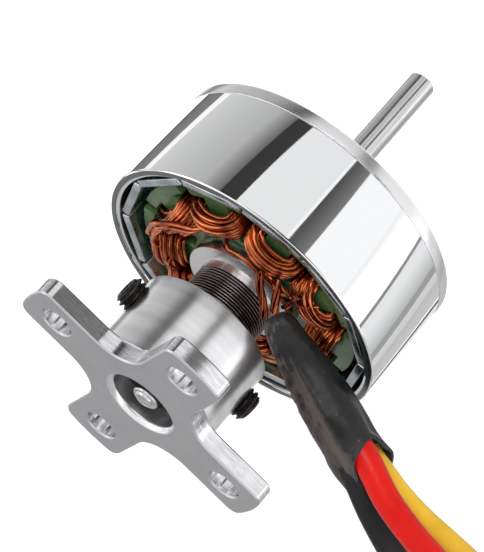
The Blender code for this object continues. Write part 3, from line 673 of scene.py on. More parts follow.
# Heat-shrink sleeve over the joints: its middle line, and half its width and depth where it is an oval
SLEEVE_LINE = [
    (7.0, 11.2, 3.1), (8.2, 10.7, 0.6), (9.6, 10.4, -2.3), (11.4, 9.9, -5.2), (13.0, 9.3, -7.4),
    (13.7, 9.1, -8.0),
]
SLEEVE_HALVES = [(1.3, 0.9), (1.75, 1.2), (2.0, 1.6), (2.15, 2.1), (2.2, 2.7), (2.2, 2.85)]
SLEEVE_WIDE = (0.48, 0.88, 0.0)
SLEEVE_WALL = 0.34
SLEEVE_RINGS, SLEEVE_SIDES = 96, 84
BUNDLE = [(0.18, -1.91), (-0.89, 0.39), (1.0, 1.98)]  # the three leads in the mouth, across and deep
BUNDLE_FROM, BUNDLE_TO = 0.25, 0.85  # shares of the length where the oval becomes the leads' outline
MOUTH_SLIDE = (2.3, -0.38, 0.5)  # how far the mouth reaches: at its middle, and for each mm across and deep
RIDGE_DEG, RIDGE_HEIGHT = 250.0, 0.3


def eased_share(low, high, value):
    """0 below a lower limit, 1 above a higher one, and a smooth step between them."""
    t = min(1.0, max(0.0, (value - low) / (high - low)))
    return t * t * (3 - 2 * t)


def along_list(values, t):
    """A value between neighbours in a list, at a share of the list's length."""
    place = min(max(t, 0.0), 1.0) * (len(values) - 1)
    i = min(int(place), len(values) - 2)
    return values[i].lerp(values[i + 1], place - i)


def bundle_radius(angle, lead_radius):
    """The radius, at an angle, of a skin stretched round the three leads."""
    nearest = math.inf
    for k in range(-14, 15):
        lean = k * math.radians(6)
        toward = angle + lean
        reach = max(x * math.cos(toward) + y * math.sin(toward) for x, y in BUNDLE) + lead_radius
        nearest = min(nearest, reach / math.cos(lean))
    return nearest


def crumple(angle, t):
    """How far the sleeve's skin stands out: a crease along the front lead's left, dents and wrinkles."""
    degrees = math.degrees(angle) % 360
    crease = math.exp(-(((degrees - RIDGE_DEG) / 10) ** 2)) * RIDGE_HEIGHT * eased_share(0.1, 0.5, t)
    hollow = math.exp(-(((degrees - RIDGE_DEG + 42) / 22) ** 2)) * 0.28 * eased_share(0.15, 0.6, t)
    left_side = math.exp(-(((degrees - 205) / 42) ** 2))
    broad = noise.noise(Vector((math.cos(angle) * 1.5, math.sin(angle) * 1.5, t * 6.0)))
    middling = noise.noise(Vector((math.cos(angle) * 3.2, math.sin(angle) * 3.2, t * 15.0 + 9)))
    fine = noise.noise(Vector((math.cos(angle) * 8, math.sin(angle) * 8, t * 42.0 + 30)))
    return crease - hollow + broad * 0.12 + (middling * 0.2 + fine * 0.09) * (0.12 + 0.88 * left_side)


def sleeve_point(line, halves, t, angle, inset):
    """A point of the sleeve's skin, which goes from an oval to the outline of the three leads."""
    wide = Vector(SLEEVE_WIDE)
    middle = along_list(line, t)
    ahead = (along_list(line, t + 0.04) - along_list(line, t - 0.04)).normalized()
    deep = wide.cross(ahead).normalized()
    across = ahead.cross(deep).normalized()
    half_wide, half_deep = along_list(halves, t)
    oval = half_wide * half_deep / math.hypot(half_deep * math.cos(angle), half_wide * math.sin(angle))
    oval *= 1 - 0.3 * eased_share(0, 0.06, 0.06 - t)
    blend = eased_share(BUNDLE_FROM, BUNDLE_TO, t)
    skin = bundle_radius(angle, LEAD_RADIUS + SLEEVE_WALL + 0.1)
    radius = oval * (1 - blend) + skin * blend + crumple(angle, t) - inset
    u, v = radius * math.cos(angle), radius * math.sin(angle)
    slide = MOUTH_SLIDE[0] + MOUTH_SLIDE[1] * u + MOUTH_SLIDE[2] * v
    return middle + across * u + deep * v + ahead * slide * eased_share(0.7, 1.0, t)


def lead_sleeve():
    """The sleeve's skin, out and back in at its mouth, closed where the windings' ends enter."""
    line = [Vector(p) for p in smooth(SLEEVE_LINE, 0.8)]
    halves = [Vector(p[:2]) for p in smooth([(*h, 0) for h in SLEEVE_HALVES], 0.12)]
    form = bmesh.new()
    stations = [(i / SLEEVE_RINGS, 0.0) for i in range(SLEEVE_RINGS + 1)]
    stations += [(1.0, SLEEVE_WALL / 2), (0.997, SLEEVE_WALL), (0.97, SLEEVE_WALL), (0.93, SLEEVE_WALL)]
    turns = [math.tau * k / SLEEVE_SIDES for k in range(SLEEVE_SIDES)]
    rings = [
        [form.verts.new(sleeve_point(line, halves, t, angle, inset) * MM) for angle in turns]
        for t, inset in stations
    ]
    skinned(form, rings)
    # The sleeve's heat shrink has painted light: one side is painted paler.
    dressed(as_object("lead_sleeve_skin", form, 60), "lead_sleeve", LOOKS["heat_shrink_painted_light"])


# Mount


def arm_outline():
    """One arm along +X and the hollow that leads to the next arm."""
    half = ARM_WIDTH / 2
    tip = ARM_RADIUS - ARM_CORNER
    reach = math.degrees(math.asin((half - ARM_CORNER) / tip))
    corner = (tip * math.cos(math.radians(reach)), half - ARM_CORNER)
    low_corner = arc((corner[0], -corner[1]), ARM_CORNER, -90, -reach, 8)
    end = arc((0, 0), ARM_RADIUS, -reach, reach, 12)[1:-1]
    high_corner = arc(corner, ARM_CORNER, reach, 90, 8)
    hollow = (half + ARM_FILLET, half + ARM_FILLET)
    return low_corner + end + high_corner + arc(hollow, ARM_FILLET, 270, 180, 20)


def cross_mount():
    """The cross plate and its collar, with broken edges at the arms, the holes and the bore."""
    outline = [p for k in range(4) for p in turned_about(arm_outline(), 45 + 90 * k)]
    holes = [
        turned_about(arc((HOLE_CIRCLE, 0), HOLE_RADIUS, 0, 352.5, 47), 45 + 90 * k) for k in range(4)
    ]
    bore_loop = arc((0, 0), BORE_MOUTH + 0.6, 0, 357.5, 143)
    made = plated("cross_mount_plate", [outline, *holes, bore_loop], 0, PLATE_THICKNESS, PLATE_EDGE)
    inner = TUBE_RADIUS + GAP
    collar = [
        (COLLAR_RADIUS, COLLAR_END_Y),
        (COLLAR_RADIUS, COLLAR_FOOT_Y),
        (BORE_MOUTH + 1.6, COLLAR_FOOT_Y),
        (BORE_MOUTH + 1.6, 0.0),
        (BORE_MOUTH, 0.0),
        (BORE_RADIUS, BORE_MOUTH - BORE_RADIUS),
        (BORE_RADIUS, TUBE_ENDS[0] - GAP),
        (inner, TUBE_ENDS[0] - GAP),
        (inner, COLLAR_END_Y),
    ]
    ring = as_object("collar_ring", revolved(eased(collar, COLLAR_EDGE)))
    made = combined(made, [ring], "UNION")
    cuts = []
    hole = [(0, 9), (1.75, 9), (1.75, 6.2), (1.5, 5.98), (1.5, 2), (0, 2)]
    for degrees in SET_SCREW_DEGS:
        cut = as_object("screw_hole", revolved(hole, SMALL_ROUND))
        cut.matrix_world = ALONG_SHAFT.inverted() @ axis_matrix(polar(1, degrees, 0), (0, SET_SCREW_Y, 0))
        cuts.append(cut)
    made = combined(made, cuts, "DIFFERENCE")
    dressed(made, "cross_mount", matrix=ALONG_SHAFT)
    refaced(made, LOOKS["turned_aluminium"], was_turned)


def was_turned(radius, height):
    """Whether a place on the mount was turned: the collar and the bore, above the back face."""
    inside = radius < COLLAR_RADIUS + 0.02 and height > 0.02
    return inside and (height > PLATE_THICKNESS + 0.01 or radius < BORE_MOUTH + 0.05)


THREAD_PITCH = 0.5
THREAD_DEPTH = 0.3


def threaded_rod(name, radius, low, high, steps=SMALL_ROUND):
    """A rod about local Z with a helical thread, tapered at both ends."""
    form = bmesh.new()
    rows = round((high - low) / THREAD_PITCH * 10)
    rings = []
    for j in range(rows + 1):
        z = low + (high - low) * j / rows
        end = min(z - low, high - z)
        ring = []
        for k in range(steps):
            phase = (z / THREAD_PITCH - k / steps) % 1.0
            crest = max(0.0, 1 - abs(phase - 0.5) * 2.3)
            r = radius - THREAD_DEPTH * (1 - min(1.0, crest * 1.25))
            r = min(r, radius - THREAD_DEPTH * 1.5 + end * 1.1)
            a = math.tau * k / steps
            ring.append(form.verts.new(Vector((r * math.cos(a), r * math.sin(a), z)) * MM))
        rings.append(ring)
    skinned(form, rings)
    return as_object(name, form, 40)


def hexagon_cut(across, low, high):
    """A hexagon rod that cuts a socket."""
    r = across / math.sqrt(3)
    outline = [(0, high), (r, high), (r, low), (r * 0.3, low - 0.3), (0, low - 0.3)]
    return as_object("socket", revolved(outline, 6))


HUB_SCREW_PLACE = axis_matrix(polar(1, 45, 0), (0, (HUB_TOP_Y + CAP_FACE_Y) / 2, 0))


def set_screws():
    """The collar's two screws and the hub's smaller one."""
    for number, degrees in enumerate(SET_SCREW_DEGS, 1):
        low, high = SET_SCREW_ENDS
        made = threaded_rod(f"collar_screw_{number}_thread", SET_SCREW_RADIUS, low, high)
        combined(made, [hexagon_cut(1.5, high - 1.5, high + 1)], "DIFFERENCE", 40)
        place = axis_matrix(polar(1, degrees, 0), (0, SET_SCREW_Y, 0))
        dressed(made, f"collar_screw_{number}", matrix=place)
    low, high = SHAFT_RADIUS + GAP, HUB_RADIUS - 0.15
    made = threaded_rod("hub_set_screw_thread", 1.0, low, high)
    combined(made, [hexagon_cut(0.9, high - 0.9, high + 1)], "DIFFERENCE", 40)
    dressed(made, "hub_set_screw", matrix=HUB_SCREW_PLACE)


RIBS, RIB_PITCH, RIB_DEPTH, RIBS_BELOW_FLANGE = 14, 0.27, 0.2, 0.75


def ribs():
    """The neck's outline from the flange down: crests of metal between narrow grooves."""
    made = []
    bottom = TUBE_RADIUS - RIB_DEPTH
    for k in range(RIBS):
        y = FLANGE_ENDS[0] - RIBS_BELOW_FLANGE - k * RIB_PITCH
        made += [(TUBE_RADIUS, y), (bottom, y - RIB_PITCH * 0.22)]
        made += [(bottom, y - RIB_PITCH * 0.40), (TUBE_RADIUS, y - RIB_PITCH * 0.62)]
    return made


def on_neck(radius, height):
    """Whether a place on the bearing tube is on its outer side, below the flange."""
    return TUBE_RADIUS - RIB_DEPTH * 1.2 < radius < TUBE_RADIUS + 0.01 and height < FLANGE_ENDS[0]


def in_groove(radius, height):
    """Whether a place on the bearing tube is inside one of the neck's grooves."""
    return on_neck(radius, height) and radius < TUBE_RADIUS - RIB_DEPTH * 0.25


def bearing_tube():
    """The tube with its ribbed neck, its flange and its bearing seats."""
    seat = BEARING_RADIUS + GAP / 2
    rear_step = TUBE_ENDS[0] + 0.15 + BEARING_WIDTH + GAP
    front_step = TUBE_ENDS[1] - 0.05 - BEARING_WIDTH - GAP
    outline = [
        (TUBE_RADIUS, TUBE_ENDS[1]),
        (TUBE_RADIUS, FLANGE_ENDS[1]),
        (FLANGE_RADIUS, FLANGE_ENDS[1]),
        (FLANGE_RADIUS, FLANGE_ENDS[0]),
        (TUBE_RADIUS + 0.06, FLANGE_ENDS[0]),
        *ribs(),
        (TUBE_RADIUS, TUBE_ENDS[0]),
        (seat, TUBE_ENDS[0]),
        (seat, rear_step),
        (TUBE_BORE_RADIUS, rear_step),
        (TUBE_BORE_RADIUS, front_step),
        (seat, front_step),
        (seat, TUBE_ENDS[1]),
    ]
    made = as_object("bearing_tube_turning", revolved(eased(outline, 0.03, 2)), 35)
    dressed(made, "bearing_tube", matrix=ALONG_SHAFT)
    refaced(made, NECK_METAL, on_neck)
    # The grooves are painted near-black as painted shade.
    refaced(made, GROOVE_PAINTED_SHADE, in_groove)


# Bearings


def groove(outward, steps=8):
    """The ball groove's arc in a ring's land, from the top down."""
    half = math.degrees(math.asin(GROOVE_HALF / GROOVE_RADIUS))
    start = 0 if outward else 180
    return arc((PITCH_RADIUS, 0), GROOVE_RADIUS, start - half, start + half, steps)


def bearing(end):
    """A shielded ball bearing, ring by ring."""
    top = BEARING_WIDTH / 2
    middle = lowest(f"{end}_bearing_outer_ring", "Y") + top
    matrix = Matrix.Translation((0, middle * MM, 0)) @ ALONG_SHAFT
    outer_land, inner_land = groove(True)[0][0], groove(False)[0][0]
    bore = SHAFT_RADIUS + GAP / 2
    outside = [(BEARING_RADIUS, top), (BEARING_RADIUS, -top)]
    rings = {
        "outer_ring": [*outside, (outer_land, -top), *groove(True), (outer_land, top)],
        "inner_ring": [(inner_land, top), *groove(False), (inner_land, -top), (bore, -top), (bore, top)],
    }
    for side in ("inside", "outside"):
        node = f"{end}_bearing_shield_{side}"
        low, high = lowest(node, "Y") - middle, highest(node, "Y") - middle
        wide, narrow = outer_land - 0.02, inner_land + 0.12
        rings[f"shield_{side}"] = [(wide, high), (wide, low), (narrow, low), (narrow, high)]
    for part, outline in rings.items():
        made = as_object(f"{end}_bearing_{part}_turning", revolved(eased(outline, 0.06, 2), SMALL_ROUND))
        dressed(made, f"{end}_bearing_{part}", matrix=matrix)
    wide, narrow, rise = PITCH_RADIUS + 0.1, PITCH_RADIUS - 0.1, 0.4
    cage = [(wide, rise), (wide, -rise), (narrow, -rise), (narrow, rise)]
    made = as_object(f"{end}_bearing_cage_and_balls", revolved(cage, SMALL_ROUND))
    balls = []
    for number in range(BALLS):
        bpy.ops.mesh.primitive_uv_sphere_add(segments=24, ring_count=16, radius=BALL_RADIUS * MM)
        ball = bpy.context.active_object
        turn = Matrix.Rotation(math.tau * number / BALLS, 4, "Z")
        ball.matrix_world = turn @ Matrix.Translation((PITCH_RADIUS * MM, 0, 0))
        balls.append(ball)
    dressed(combined(made, balls, "UNION"), f"{end}_bearing_balls", matrix=matrix)


# Stator


def tooth_outline():
    """One tooth along +X, from the slot before it to the slot after it."""
    half_pitch = 180 / TEETH
    root = math.degrees(math.asin(STEM_WIDTH / 2 / STATOR_HUB_RADIUS))
    neck = STATOR_RADIUS - SHOE_DEPTH
    shoe_side = neck * math.sin(math.radians(SHOE_HALF_DEG))
    shoe_foot = neck * math.cos(math.radians(SHOE_HALF_DEG)) - 0.1
    half = STEM_WIDTH / 2
    rise = [(neck - 0.25, -half), (shoe_foot, -shoe_side)]
    fall = [(x, -y) for x, y in reversed(rise)]
    tip = arc((0, 0), STATOR_RADIUS, -SHOE_HALF_DEG, SHOE_HALF_DEG, 16)
    before = arc((0, 0), STATOR_HUB_RADIUS, -half_pitch, -root, 4)
    after = arc((0, 0), STATOR_HUB_RADIUS, root, half_pitch, 4)
    return before + rise + tip + fall + after[:-1]


def stator_core():
    """The stack in its thick coat, which rounds its edges."""
    loops = []
    for k in range(TEETH):
        loops += turned_about(tooth_outline(), 360 / TEETH * k - FIRST_TOOTH_DEG)
    bore = arc((0, 0), TUBE_RADIUS + GAP, 0, 360 - 360 / ROUND, ROUND - 1)
    made = plated("stator_core_coat", [loops, bore], *STACK_ENDS, COAT_EDGE, 2)
    dressed(made, "stator_core", matrix=ALONG_SHAFT)


WIRE_RADIUS = 0.19
COIL_LAYERS = [(9.3, 6.25, 8), (9.35, 6.7, 7), (9.35, 7.3, 6), (9.3, 8.0, 4)]
COIL_STEPS = (3, 11)  # points along a slot and round a coil's end


def turn_template():
    """One turn round a tooth: share of half the width, share of half the stack, share of the end's rise."""
    along, round_end = COIL_STEPS
    made = []
    for side in (1, -1):
        made += [(side, side * (-1 + 2 * i / along), 0.0) for i in range(along)]
        for i in range(round_end):
            a = math.pi * i / round_end
            made.append((side * math.cos(a), side * 1.0, side * math.sin(a)))
    return made


def coil_points(rng):
    """The wire of one coil: points across the tooth, out from the shaft and along the shaft."""
    template = turn_template()
    half_stack = (STACK_ENDS[1] - STACK_ENDS[0]) / 2 + 0.12
    points = []
    for layer, (outer, inner, turns) in enumerate(COIL_LAYERS):
        start, stop = (outer, inner) if layer % 2 else (inner, outer)
        rises = [0.42 + 0.36 * layer + rng.uniform(-0.1, 0.16) for _ in range(turns + 1)]
        bows = [rng.uniform(0.05, 0.5) for _ in range(turns + 1)]
        widths = [STEM_WIDTH / 2 + 0.28 + 0.35 * layer + rng.uniform(-0.05, 0.05) for _ in range(turns + 1)]
        for turn in range(turns):
            for k, (across, along, end) in enumerate(template):
                t = k / len(template)
                rise = rises[turn] * (1 - t) + rises[turn + 1] * t
                bow = bows[turn] * (1 - t) + bows[turn + 1] * t
                width = widths[turn] * (1 - t) + widths[turn + 1] * t
                out = start + (stop - start) * (turn + t) / turns
                out -= (out - 5.95) * bow * abs(end) * 0.45
                width = min(width, out * math.tan(math.radians(180 / TEETH)) - 0.2)
                points.append((across * width, out, along * half_stack + end * rise))
    return points


def tooth_place(point, degrees):
    """A coil's point (across, out, along) at a tooth's angle, in millimetres."""
    across, out, along = point
    angle = math.radians(degrees)
    outward = Vector((math.cos(angle), 0, math.sin(angle)))
    sideways = outward.cross(Vector((0, 1, 0)))
    middle = sum(STACK_ENDS) / 2
    return outward * out + sideways * across + Vector((0, middle + along, 0))


def coils():
    """Nine coils of one continuous wire each."""
    rng = random.Random(11)
    for k in range(TEETH):
        degrees = FIRST_TOOTH_DEG + 360 / TEETH * k
        points = [tooth_place(p, degrees) for p in coil_points(rng)]
        dressed(wire(f"coil_{k + 1:02d}_winding", points, WIRE_RADIUS, 1), f"coil_{k + 1:02d}")


TAIL_ROUTES = [
    [(8.9, 12.6, 5.3), (8.4, 12.55, 4.9), (7.8, 12.4, 4.2), (7.32, 12.12, 3.45)],
    [(7.0, 12.6, 6.6), (6.9, 12.3, 5.6), (6.85, 11.85, 4.5), (6.85, 11.26, 3.45)],
    [(4.9, 12.6, 6.2), (5.3, 12.0, 5.5), (5.9, 11.2, 4.5), (6.38, 10.4, 3.45)],
]
STRANDS_IN_TAIL = 3


def bundle(name, route, strands, spread, twist, phase):
    """Several wires twisted about one route, as one mesh."""
    line = [Vector(p) for p in smooth(route, 0.25)]
    pieces = []
    for s in range(strands):
        points = []
        for i, middle in enumerate(line):
            ahead = (line[min(i + 1, len(line) - 1)] - line[max(i - 1, 0)]).normalized()
            side = ahead.orthogonal().normalized()
            angle = phase + math.tau * s / strands + twist * i / len(line)
            points.append(middle + Matrix.Rotation(angle, 3, ahead) @ side * spread)
        drawn = wire(f"{name}_{s}", points, WIRE_RADIUS, 1)
        pieces.append(shown_mesh(drawn))
        bpy.data.objects.remove(drawn)
    form = bmesh.new()
    for mesh in pieces:
        form.from_mesh(mesh)
    return as_object(name, form, 60)


def winding_tails():
    """The coils' ends, gathered into the sleeve, in a darker copper that is painted shade."""
    for number, route in enumerate(TAIL_ROUTES, 1):
        made = bundle(f"winding_tail_{number}_strands", route, STRANDS_IN_TAIL, 0.22, 3.4, number)
        dressed(made, f"winding_tail_{number}", LOOKS["copper_painted_shade"])


# Jumpers from coil to coil: start and end angle, radii, and how far they stand out of the stack
JUMPERS = [
    (166, 92, 9.3, 8.0, 1.75),
    (160, 98, 8.7, 7.6, 1.8),
    (170, 128, 8.2, 9.0, 1.7),
    (150, 112, 9.4, 7.4, 1.7),
    (52, 14, 7.0, 9.2, 1.75),
    (88, 20, 6.6, 7.2, 1.7),
    (-20, -62, 7.2, 8.6, 1.7),
    (-60, -140, 7.6, 7.2, 1.7),
    (-150, -190, 8.4, 7.4, 1.7),
]


def jumpers():
    """Wires that cross from one coil to another over the coils' rear ends."""
    for number, (start, stop, r0, r1, rise) in enumerate(JUMPERS, 1):
        points = []
        for i in range(25):
            t = i / 24
            ends = math.sin(math.pi * t)
            y = STACK_ENDS[0] - rise * min(1.0, 0.35 + ends * 1.4) - 0.12
            r = r0 + (r1 - r0) * t + 0.35 * math.sin(math.tau * t)
            points.append(polar(r, start + (stop - start) * t, y))
        joined_to(wire(f"jumper_{number:02d}", points, WIRE_RADIUS, 1), "coil_01")


# Rotor


def flux_ring():
    """The bell's steel ring, mirror bright outside, with broken edges at its rim."""
    bore = BELL_RADIUS - RING_WALL
    outline = [
        (BELL_RADIUS, SEAM_Y),
        (BELL_RADIUS, RIM_Y + RIM_EDGE),
        (BELL_RADIUS - RIM_EDGE, RIM_Y),
        (bore + RIM_STEP[0], RIM_Y),
        (bore + RIM_STEP[0], RIM_Y + RIM_STEP[1]),
        (bore, RIM_Y + RIM_STEP[1]),
        (bore, SEAM_Y),
    ]
    made = as_object("flux_ring_shell", revolved(eased(outline, 0.05, 2), BELL_ROUND))
    dressed(made, "flux_ring", matrix=ALONG_SHAFT)
    refaced(made, CUT_STEEL, lambda radius, height: height < RIM_Y + 0.04 or radius < bore + 0.1)


def front_cap():
    """The cap: a plate with rounded windows, a spigot inside the ring, and the hub."""
    spigot = BELL_RADIUS - RING_WALL - GAP
    bore = SHAFT_RADIUS + GAP / 2
    inner = math.degrees(math.asin(SPOKE_WIDTH / 2 / WINDOW_RADII[0]))
    outer = math.degrees(math.asin(SPOKE_WIDTH / 2 / WINDOW_RADII[1]))
    half_turn = 180 / WINDOWS
    window = arc((0, 0), WINDOW_RADII[0], inner - half_turn, half_turn - inner, 14)
    window += arc((0, 0), WINDOW_RADII[1], half_turn - outer, outer - half_turn, 40)
    window = eased(window, 0.5, 5)
    edge = arc((0, 0), BELL_RADIUS, 0, 360 - 360 / BELL_ROUND, BELL_ROUND - 1)
    loops = [edge, arc((0, 0), bore + 0.4, 0, 357.5, 143)]
    loops += [turned_about(window, 360 / WINDOWS * k) for k in range(WINDOWS)]
    made = plated("front_cap_plate", loops, CAP_LOW_Y, CAP_FACE_Y, PLATE_EDGE, 2)
    hub = [
        (HUB_RADIUS, HUB_TOP_Y),
        (HUB_RADIUS, CAP_FACE_Y + 0.4),
        (HUB_RADIUS + 0.4, CAP_FACE_Y - 0.05),
        (HUB_RADIUS + 0.4, CAP_LOW_Y + 0.05),
        (HUB_RADIUS - 0.6, CAP_LOW_Y - 0.75),
        (bore, CAP_LOW_Y - 0.75),
        (bore, HUB_TOP_Y),
    ]
    ring = [
        (spigot, CAP_LOW_Y + 0.3),
        (spigot, CAP_LOW_Y - 0.8),
        (spigot - 0.9, CAP_LOW_Y - 0.8),
        (spigot - 0.9, CAP_LOW_Y + 0.3),
    ]
    parts = [as_object("hub", revolved(eased(hub, HUB_EDGE)))]
    parts.append(as_object("spigot", revolved(eased(ring, 0.05), BELL_ROUND)))
    made = combined(made, parts, "UNION")
    outline = [(0, 5), (1.2, 5), (1.2, 3.5), (1.04, 3.34), (1.04, 0), (0, 0)]
    hole = as_object("hub_hole", revolved(outline, 48))
    hole.matrix_world = ALONG_SHAFT.inverted() @ HUB_SCREW_PLACE
    dressed(combined(made, [hole], "DIFFERENCE"), "front_cap", matrix=ALONG_SHAFT)


def magnets():
    """Twelve plated bars with soft edges."""
    for number in range(MAGNETS):
        node = f"magnet_{number + 1:02d}"
        bpy.ops.mesh.primitive_cube_add(size=1)
        cube = bpy.context.active_object
        cube.data.transform(Matrix.Diagonal((*(Vector(MAGNET_SIZE) * MM), 1)))
        edge = cube.modifiers.new("edge", "BEVEL")
        edge.width, edge.segments = MAGNET_EDGE * MM, 3
        mesh = shown_mesh(cube)
        bpy.data.objects.remove(cube)
        made = as_object(f"{node}_bar", mesh, 50)
        degrees = FIRST_MAGNET_DEG + 360 / MAGNETS * number
        turn = Matrix.Rotation(-math.radians(degrees), 4, "Y")
        middle_y = sum(ends(node)) / 2
        place = Matrix.Translation(((MAGNET_FACE + MAGNET_SIZE[0] / 2) * MM, middle_y * MM, 0))
        dressed(made, node, matrix=turn @ place)


def shaft():
    """The shaft: a domed rear end with a bright rim, a clip groove and a chamfered front end."""
    low, high = SHAFT_ENDS
    r = SHAFT_RADIUS
    outline = [
        (0, high),
        (r - 0.3, high),
        (r, high - 0.3),
        (r, CLIP_ENDS[1] + GAP),
        (r - 0.2, CLIP_ENDS[1] + GAP),
        (r - 0.2, CLIP_ENDS[0] - GAP),
        (r, CLIP_ENDS[0] - GAP),
        (r, low + 0.42),
        (r - 0.14, low + 0.3),
        (r * 0.74, low + 0.3),
        (r * 0.62, low + 0.12),
        (r * 0.3, low + 0.02),
        (0, low),
    ]
    made = as_object("shaft_rod", revolved(eased(outline, 0.06, 3), 96), 25)
    dressed(made, "shaft", matrix=ALONG_SHAFT)


def shaft_fittings():
    """The open clip, the rear washer and the brass spacer under the cap."""
    opening = 28  # degrees, half of the clip's mouth
    clip = arc((0, 0), CLIP_RADIUS, opening, 360 - opening, 60)
    clip += arc((0, 0), SHAFT_RADIUS - 0.1, 360 - opening, opening, 60)
    made = plated("retaining_clip_ring", [clip], *CLIP_ENDS, 0.05, 1)
    # Painted shade: the clip takes the black oxide look so that the bore round the shaft's end stays dark.
    dressed(made, "retaining_clip", look=LOOKS["black_steel"], matrix=ALONG_SHAFT)
    bore = SHAFT_RADIUS + GAP / 2
    for node in ("rear_washer", "front_spacer"):
        low, high = ends(node)
        outline = eased([(WASHER_RADIUS, high), (WASHER_RADIUS, low), (bore, low), (bore, high)], 0.06)
        dressed(as_object(f"{node}_ring", revolved(outline, SMALL_ROUND)), node, matrix=ALONG_SHAFT)


# Studio

FLOOR_Z = -78.0
CARD_RADIUS = 600.0
CARD_ENDS = (-300.0, 900.0)  # along the shaft
FLOOR_CARD_START = 18.0
# What the bell mirrors: from one angle round the shaft to another, and the tone at each
MIRRORED = [
    (126.8, 125.2, 0.09, 0.09),
    (125.2, 117.0, 0.19, 0.23),
    (113.2, 88.0, 0.68, 0.48),
    (88.0, 86.0, 0.48, 0.38),
    (86.0, 80.2, 0.38, 0.14),
    (80.2, 73.4, 0.04, 0.045),
    (73.4, 53.0, 0.87, 0.86),
    (51.9, 44.6, 0.07, 0.21),
    (12.3, 10.8, 0.28, 0.28),
    (10.8, 6.5, 0.88, 0.86),
    (6.5, -2.8, 0.86, 0.5),
    (-2.8, -6.3, 0.36, 0.38),
    (-6.3, -10.5, 0.70, 0.66),
    (-10.5, -21.5, 0.55, 0.60),
    (-22.5, -25.5, 0.12, 0.2),
    (-25.5, -31.0, 0.86, 0.82),
]
UNDER_MOUNT = ((-260, -320), (110, 16), 0.52)  # a grey card on the floor: its corners and its tone
BY_CAMERA = (270, 150, 0.05)  # a dark card in front of the camera: how far, half its side, its tone


# Lamps: where each stands, its size and its power, in metres and watts
LAMPS = [("key", (0.35, -0.25, 0.75), 0.4, 5.0), ("fill", (-0.6, -0.5, 0.45), 0.6, 1.0)]
SKY_STRENGTH = 1.03


def emitter(name, attribute):
    """A glowing material that takes its tone from a mesh attribute."""
    made = bpy.data.materials.new(name)
    made.use_nodes = True
    tree = made.node_tree
    tree.nodes.remove(tree.nodes["Principled BSDF"])
    tone = add(tree, "Attribute", {"attribute_name": attribute}).outputs["Color"]
    glow = add(tree, "Emission", Color=tone, Strength=1.0)
    tree.links.new(glow.outputs[0], tree.nodes["Material Output"].inputs["Surface"])
    return made


def mirrored_place(degrees):
    """Where the camera's sight ends, in X and Z, by way of the bell's side at an angle."""
    out = Vector((math.cos(math.radians(degrees)), math.sin(math.radians(degrees))))
    start = out * BELL_RADIUS
    sight = (start - Vector((CAMERA_AT[0], CAMERA_AT[2])) / MM).normalized()
    bounced = sight - 2 * sight.dot(out) * out
    reach = CARD_RADIUS
    if bounced.y < 0:
        reach = min(reach, (FLOOR_Z + 0.5 - start.y) / bounced.y)
    return start + bounced * reach


def toned_face(form, corners, levels):
    """A face of a card with a tone at each corner."""
    tones = form.loops.layers.float_color["tone"]
    face = form.faces.new([form.verts.new(Vector(corner) * MM) for corner in corners])
    for loop, level in zip(face.loops, levels):
        loop[tones] = (level, level, level, 1)


def mirrored_strip(form, first, last, from_tone, to_tone):
    """A strip along the shaft that the bell mirrors between two angles."""
    steps = max(1, round(abs(last - first) / 1.5))
    for i in range(steps):
        shares = (i / steps, (i + 1) / steps)
        (x0, z0), (x1, z1) = (mirrored_place(first + (last - first) * t) for t in shares)
        low, high = CARD_ENDS
        if min(z0, z1) < FLOOR_Z + 1:
            low = FLOOR_CARD_START
        tones = [from_tone + (to_tone - from_tone) * t for t in shares]
        corners = [(x0, low, z0), (x1, low, z1), (x1, high, z1), (x0, high, z0)]
        toned_face(form, corners, [tones[0], tones[1], tones[1], tones[0]])


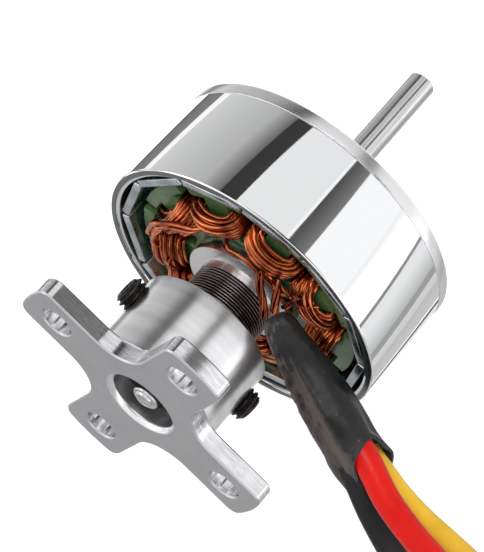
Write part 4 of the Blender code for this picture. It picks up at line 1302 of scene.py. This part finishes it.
def cards():
    """The cards that the polished metal mirrors, seen only in reflections."""
    form = bmesh.new()
    form.loops.layers.float_color.new("tone")
    for strip in MIRRORED:
        mirrored_strip(form, *strip)
    (x0, y0), (x1, y1), tone = UNDER_MOUNT
    z = FLOOR_Z + 0.5
    toned_face(form, [(x0, y0, z), (x1, y0, z), (x1, y1, z), (x0, y1, z)], [tone] * 4)
    away, half, tone = BY_CAMERA
    right, up = Vector(CAMERA_RIGHT).normalized(), Vector(CAMERA_UP).normalized()
    middle = right.cross(up) * away
    corners = [middle + right * half * i + up * half * j for i, j in ((-1, -1), (1, -1), (1, 1), (-1, 1))]
    toned_face(form, corners, [tone] * 4)
    made = as_object("reflection_cards", form, 180)
    made.data.materials.append(emitter("card_tone", "tone"))
    only_in_reflections(made)


def only_in_reflections(made):
    """Makes a studio piece show only in glossy surfaces."""
    made.visible_camera = made.visible_diffuse = made.visible_shadow = False


def studio():
    """A pale floor, an even bright sky, two large soft lights and the reflection cards."""
    bpy.ops.mesh.primitive_plane_add(size=6, location=(0, 0, FLOOR_Z * MM))
    floor = bpy.context.active_object
    floor.name = "floor"
    look, tree, surface = new_material("floor_white", (0.92, 0.92, 0.92), 0.85)
    cloud = stretched_noise(tree, local_point(tree), (3, 3, 3), 2.0)
    tone = mixed(tree, cloud, (0.915, 0.915, 0.915), (0.925, 0.925, 0.925))
    tree.links.new(tone, surface.inputs["Base Color"])
    floor.data.materials.append(look)
    world = bpy.data.worlds.new("studio")
    bpy.context.scene.world = world
    world.use_nodes = True
    sky = world.node_tree.nodes["Background"]
    sky.inputs["Color"].default_value = (1, 1, 1, 1)
    sky.inputs["Strength"].default_value = SKY_STRENGTH
    for name, at, size, power in LAMPS:
        data = bpy.data.lights.new(name, "AREA")
        data.shape, data.size, data.energy = "SQUARE", size, power
        lamp = placed(name, data)
        lamp.location = at
        lamp.rotation_euler = (-Vector(at)).to_track_quat("-Z", "Y").to_euler()
    cards()
    bpy.context.scene.view_settings.view_transform = "Standard"


camera()
leads()
lead_sleeve()
cross_mount()
set_screws()
bearing_tube()
bearing("rear")
bearing("front")
stator_core()
coils()
winding_tails()
jumpers()
flux_ring()
front_cap()
magnets()
shaft()
shaft_fittings()
studio()
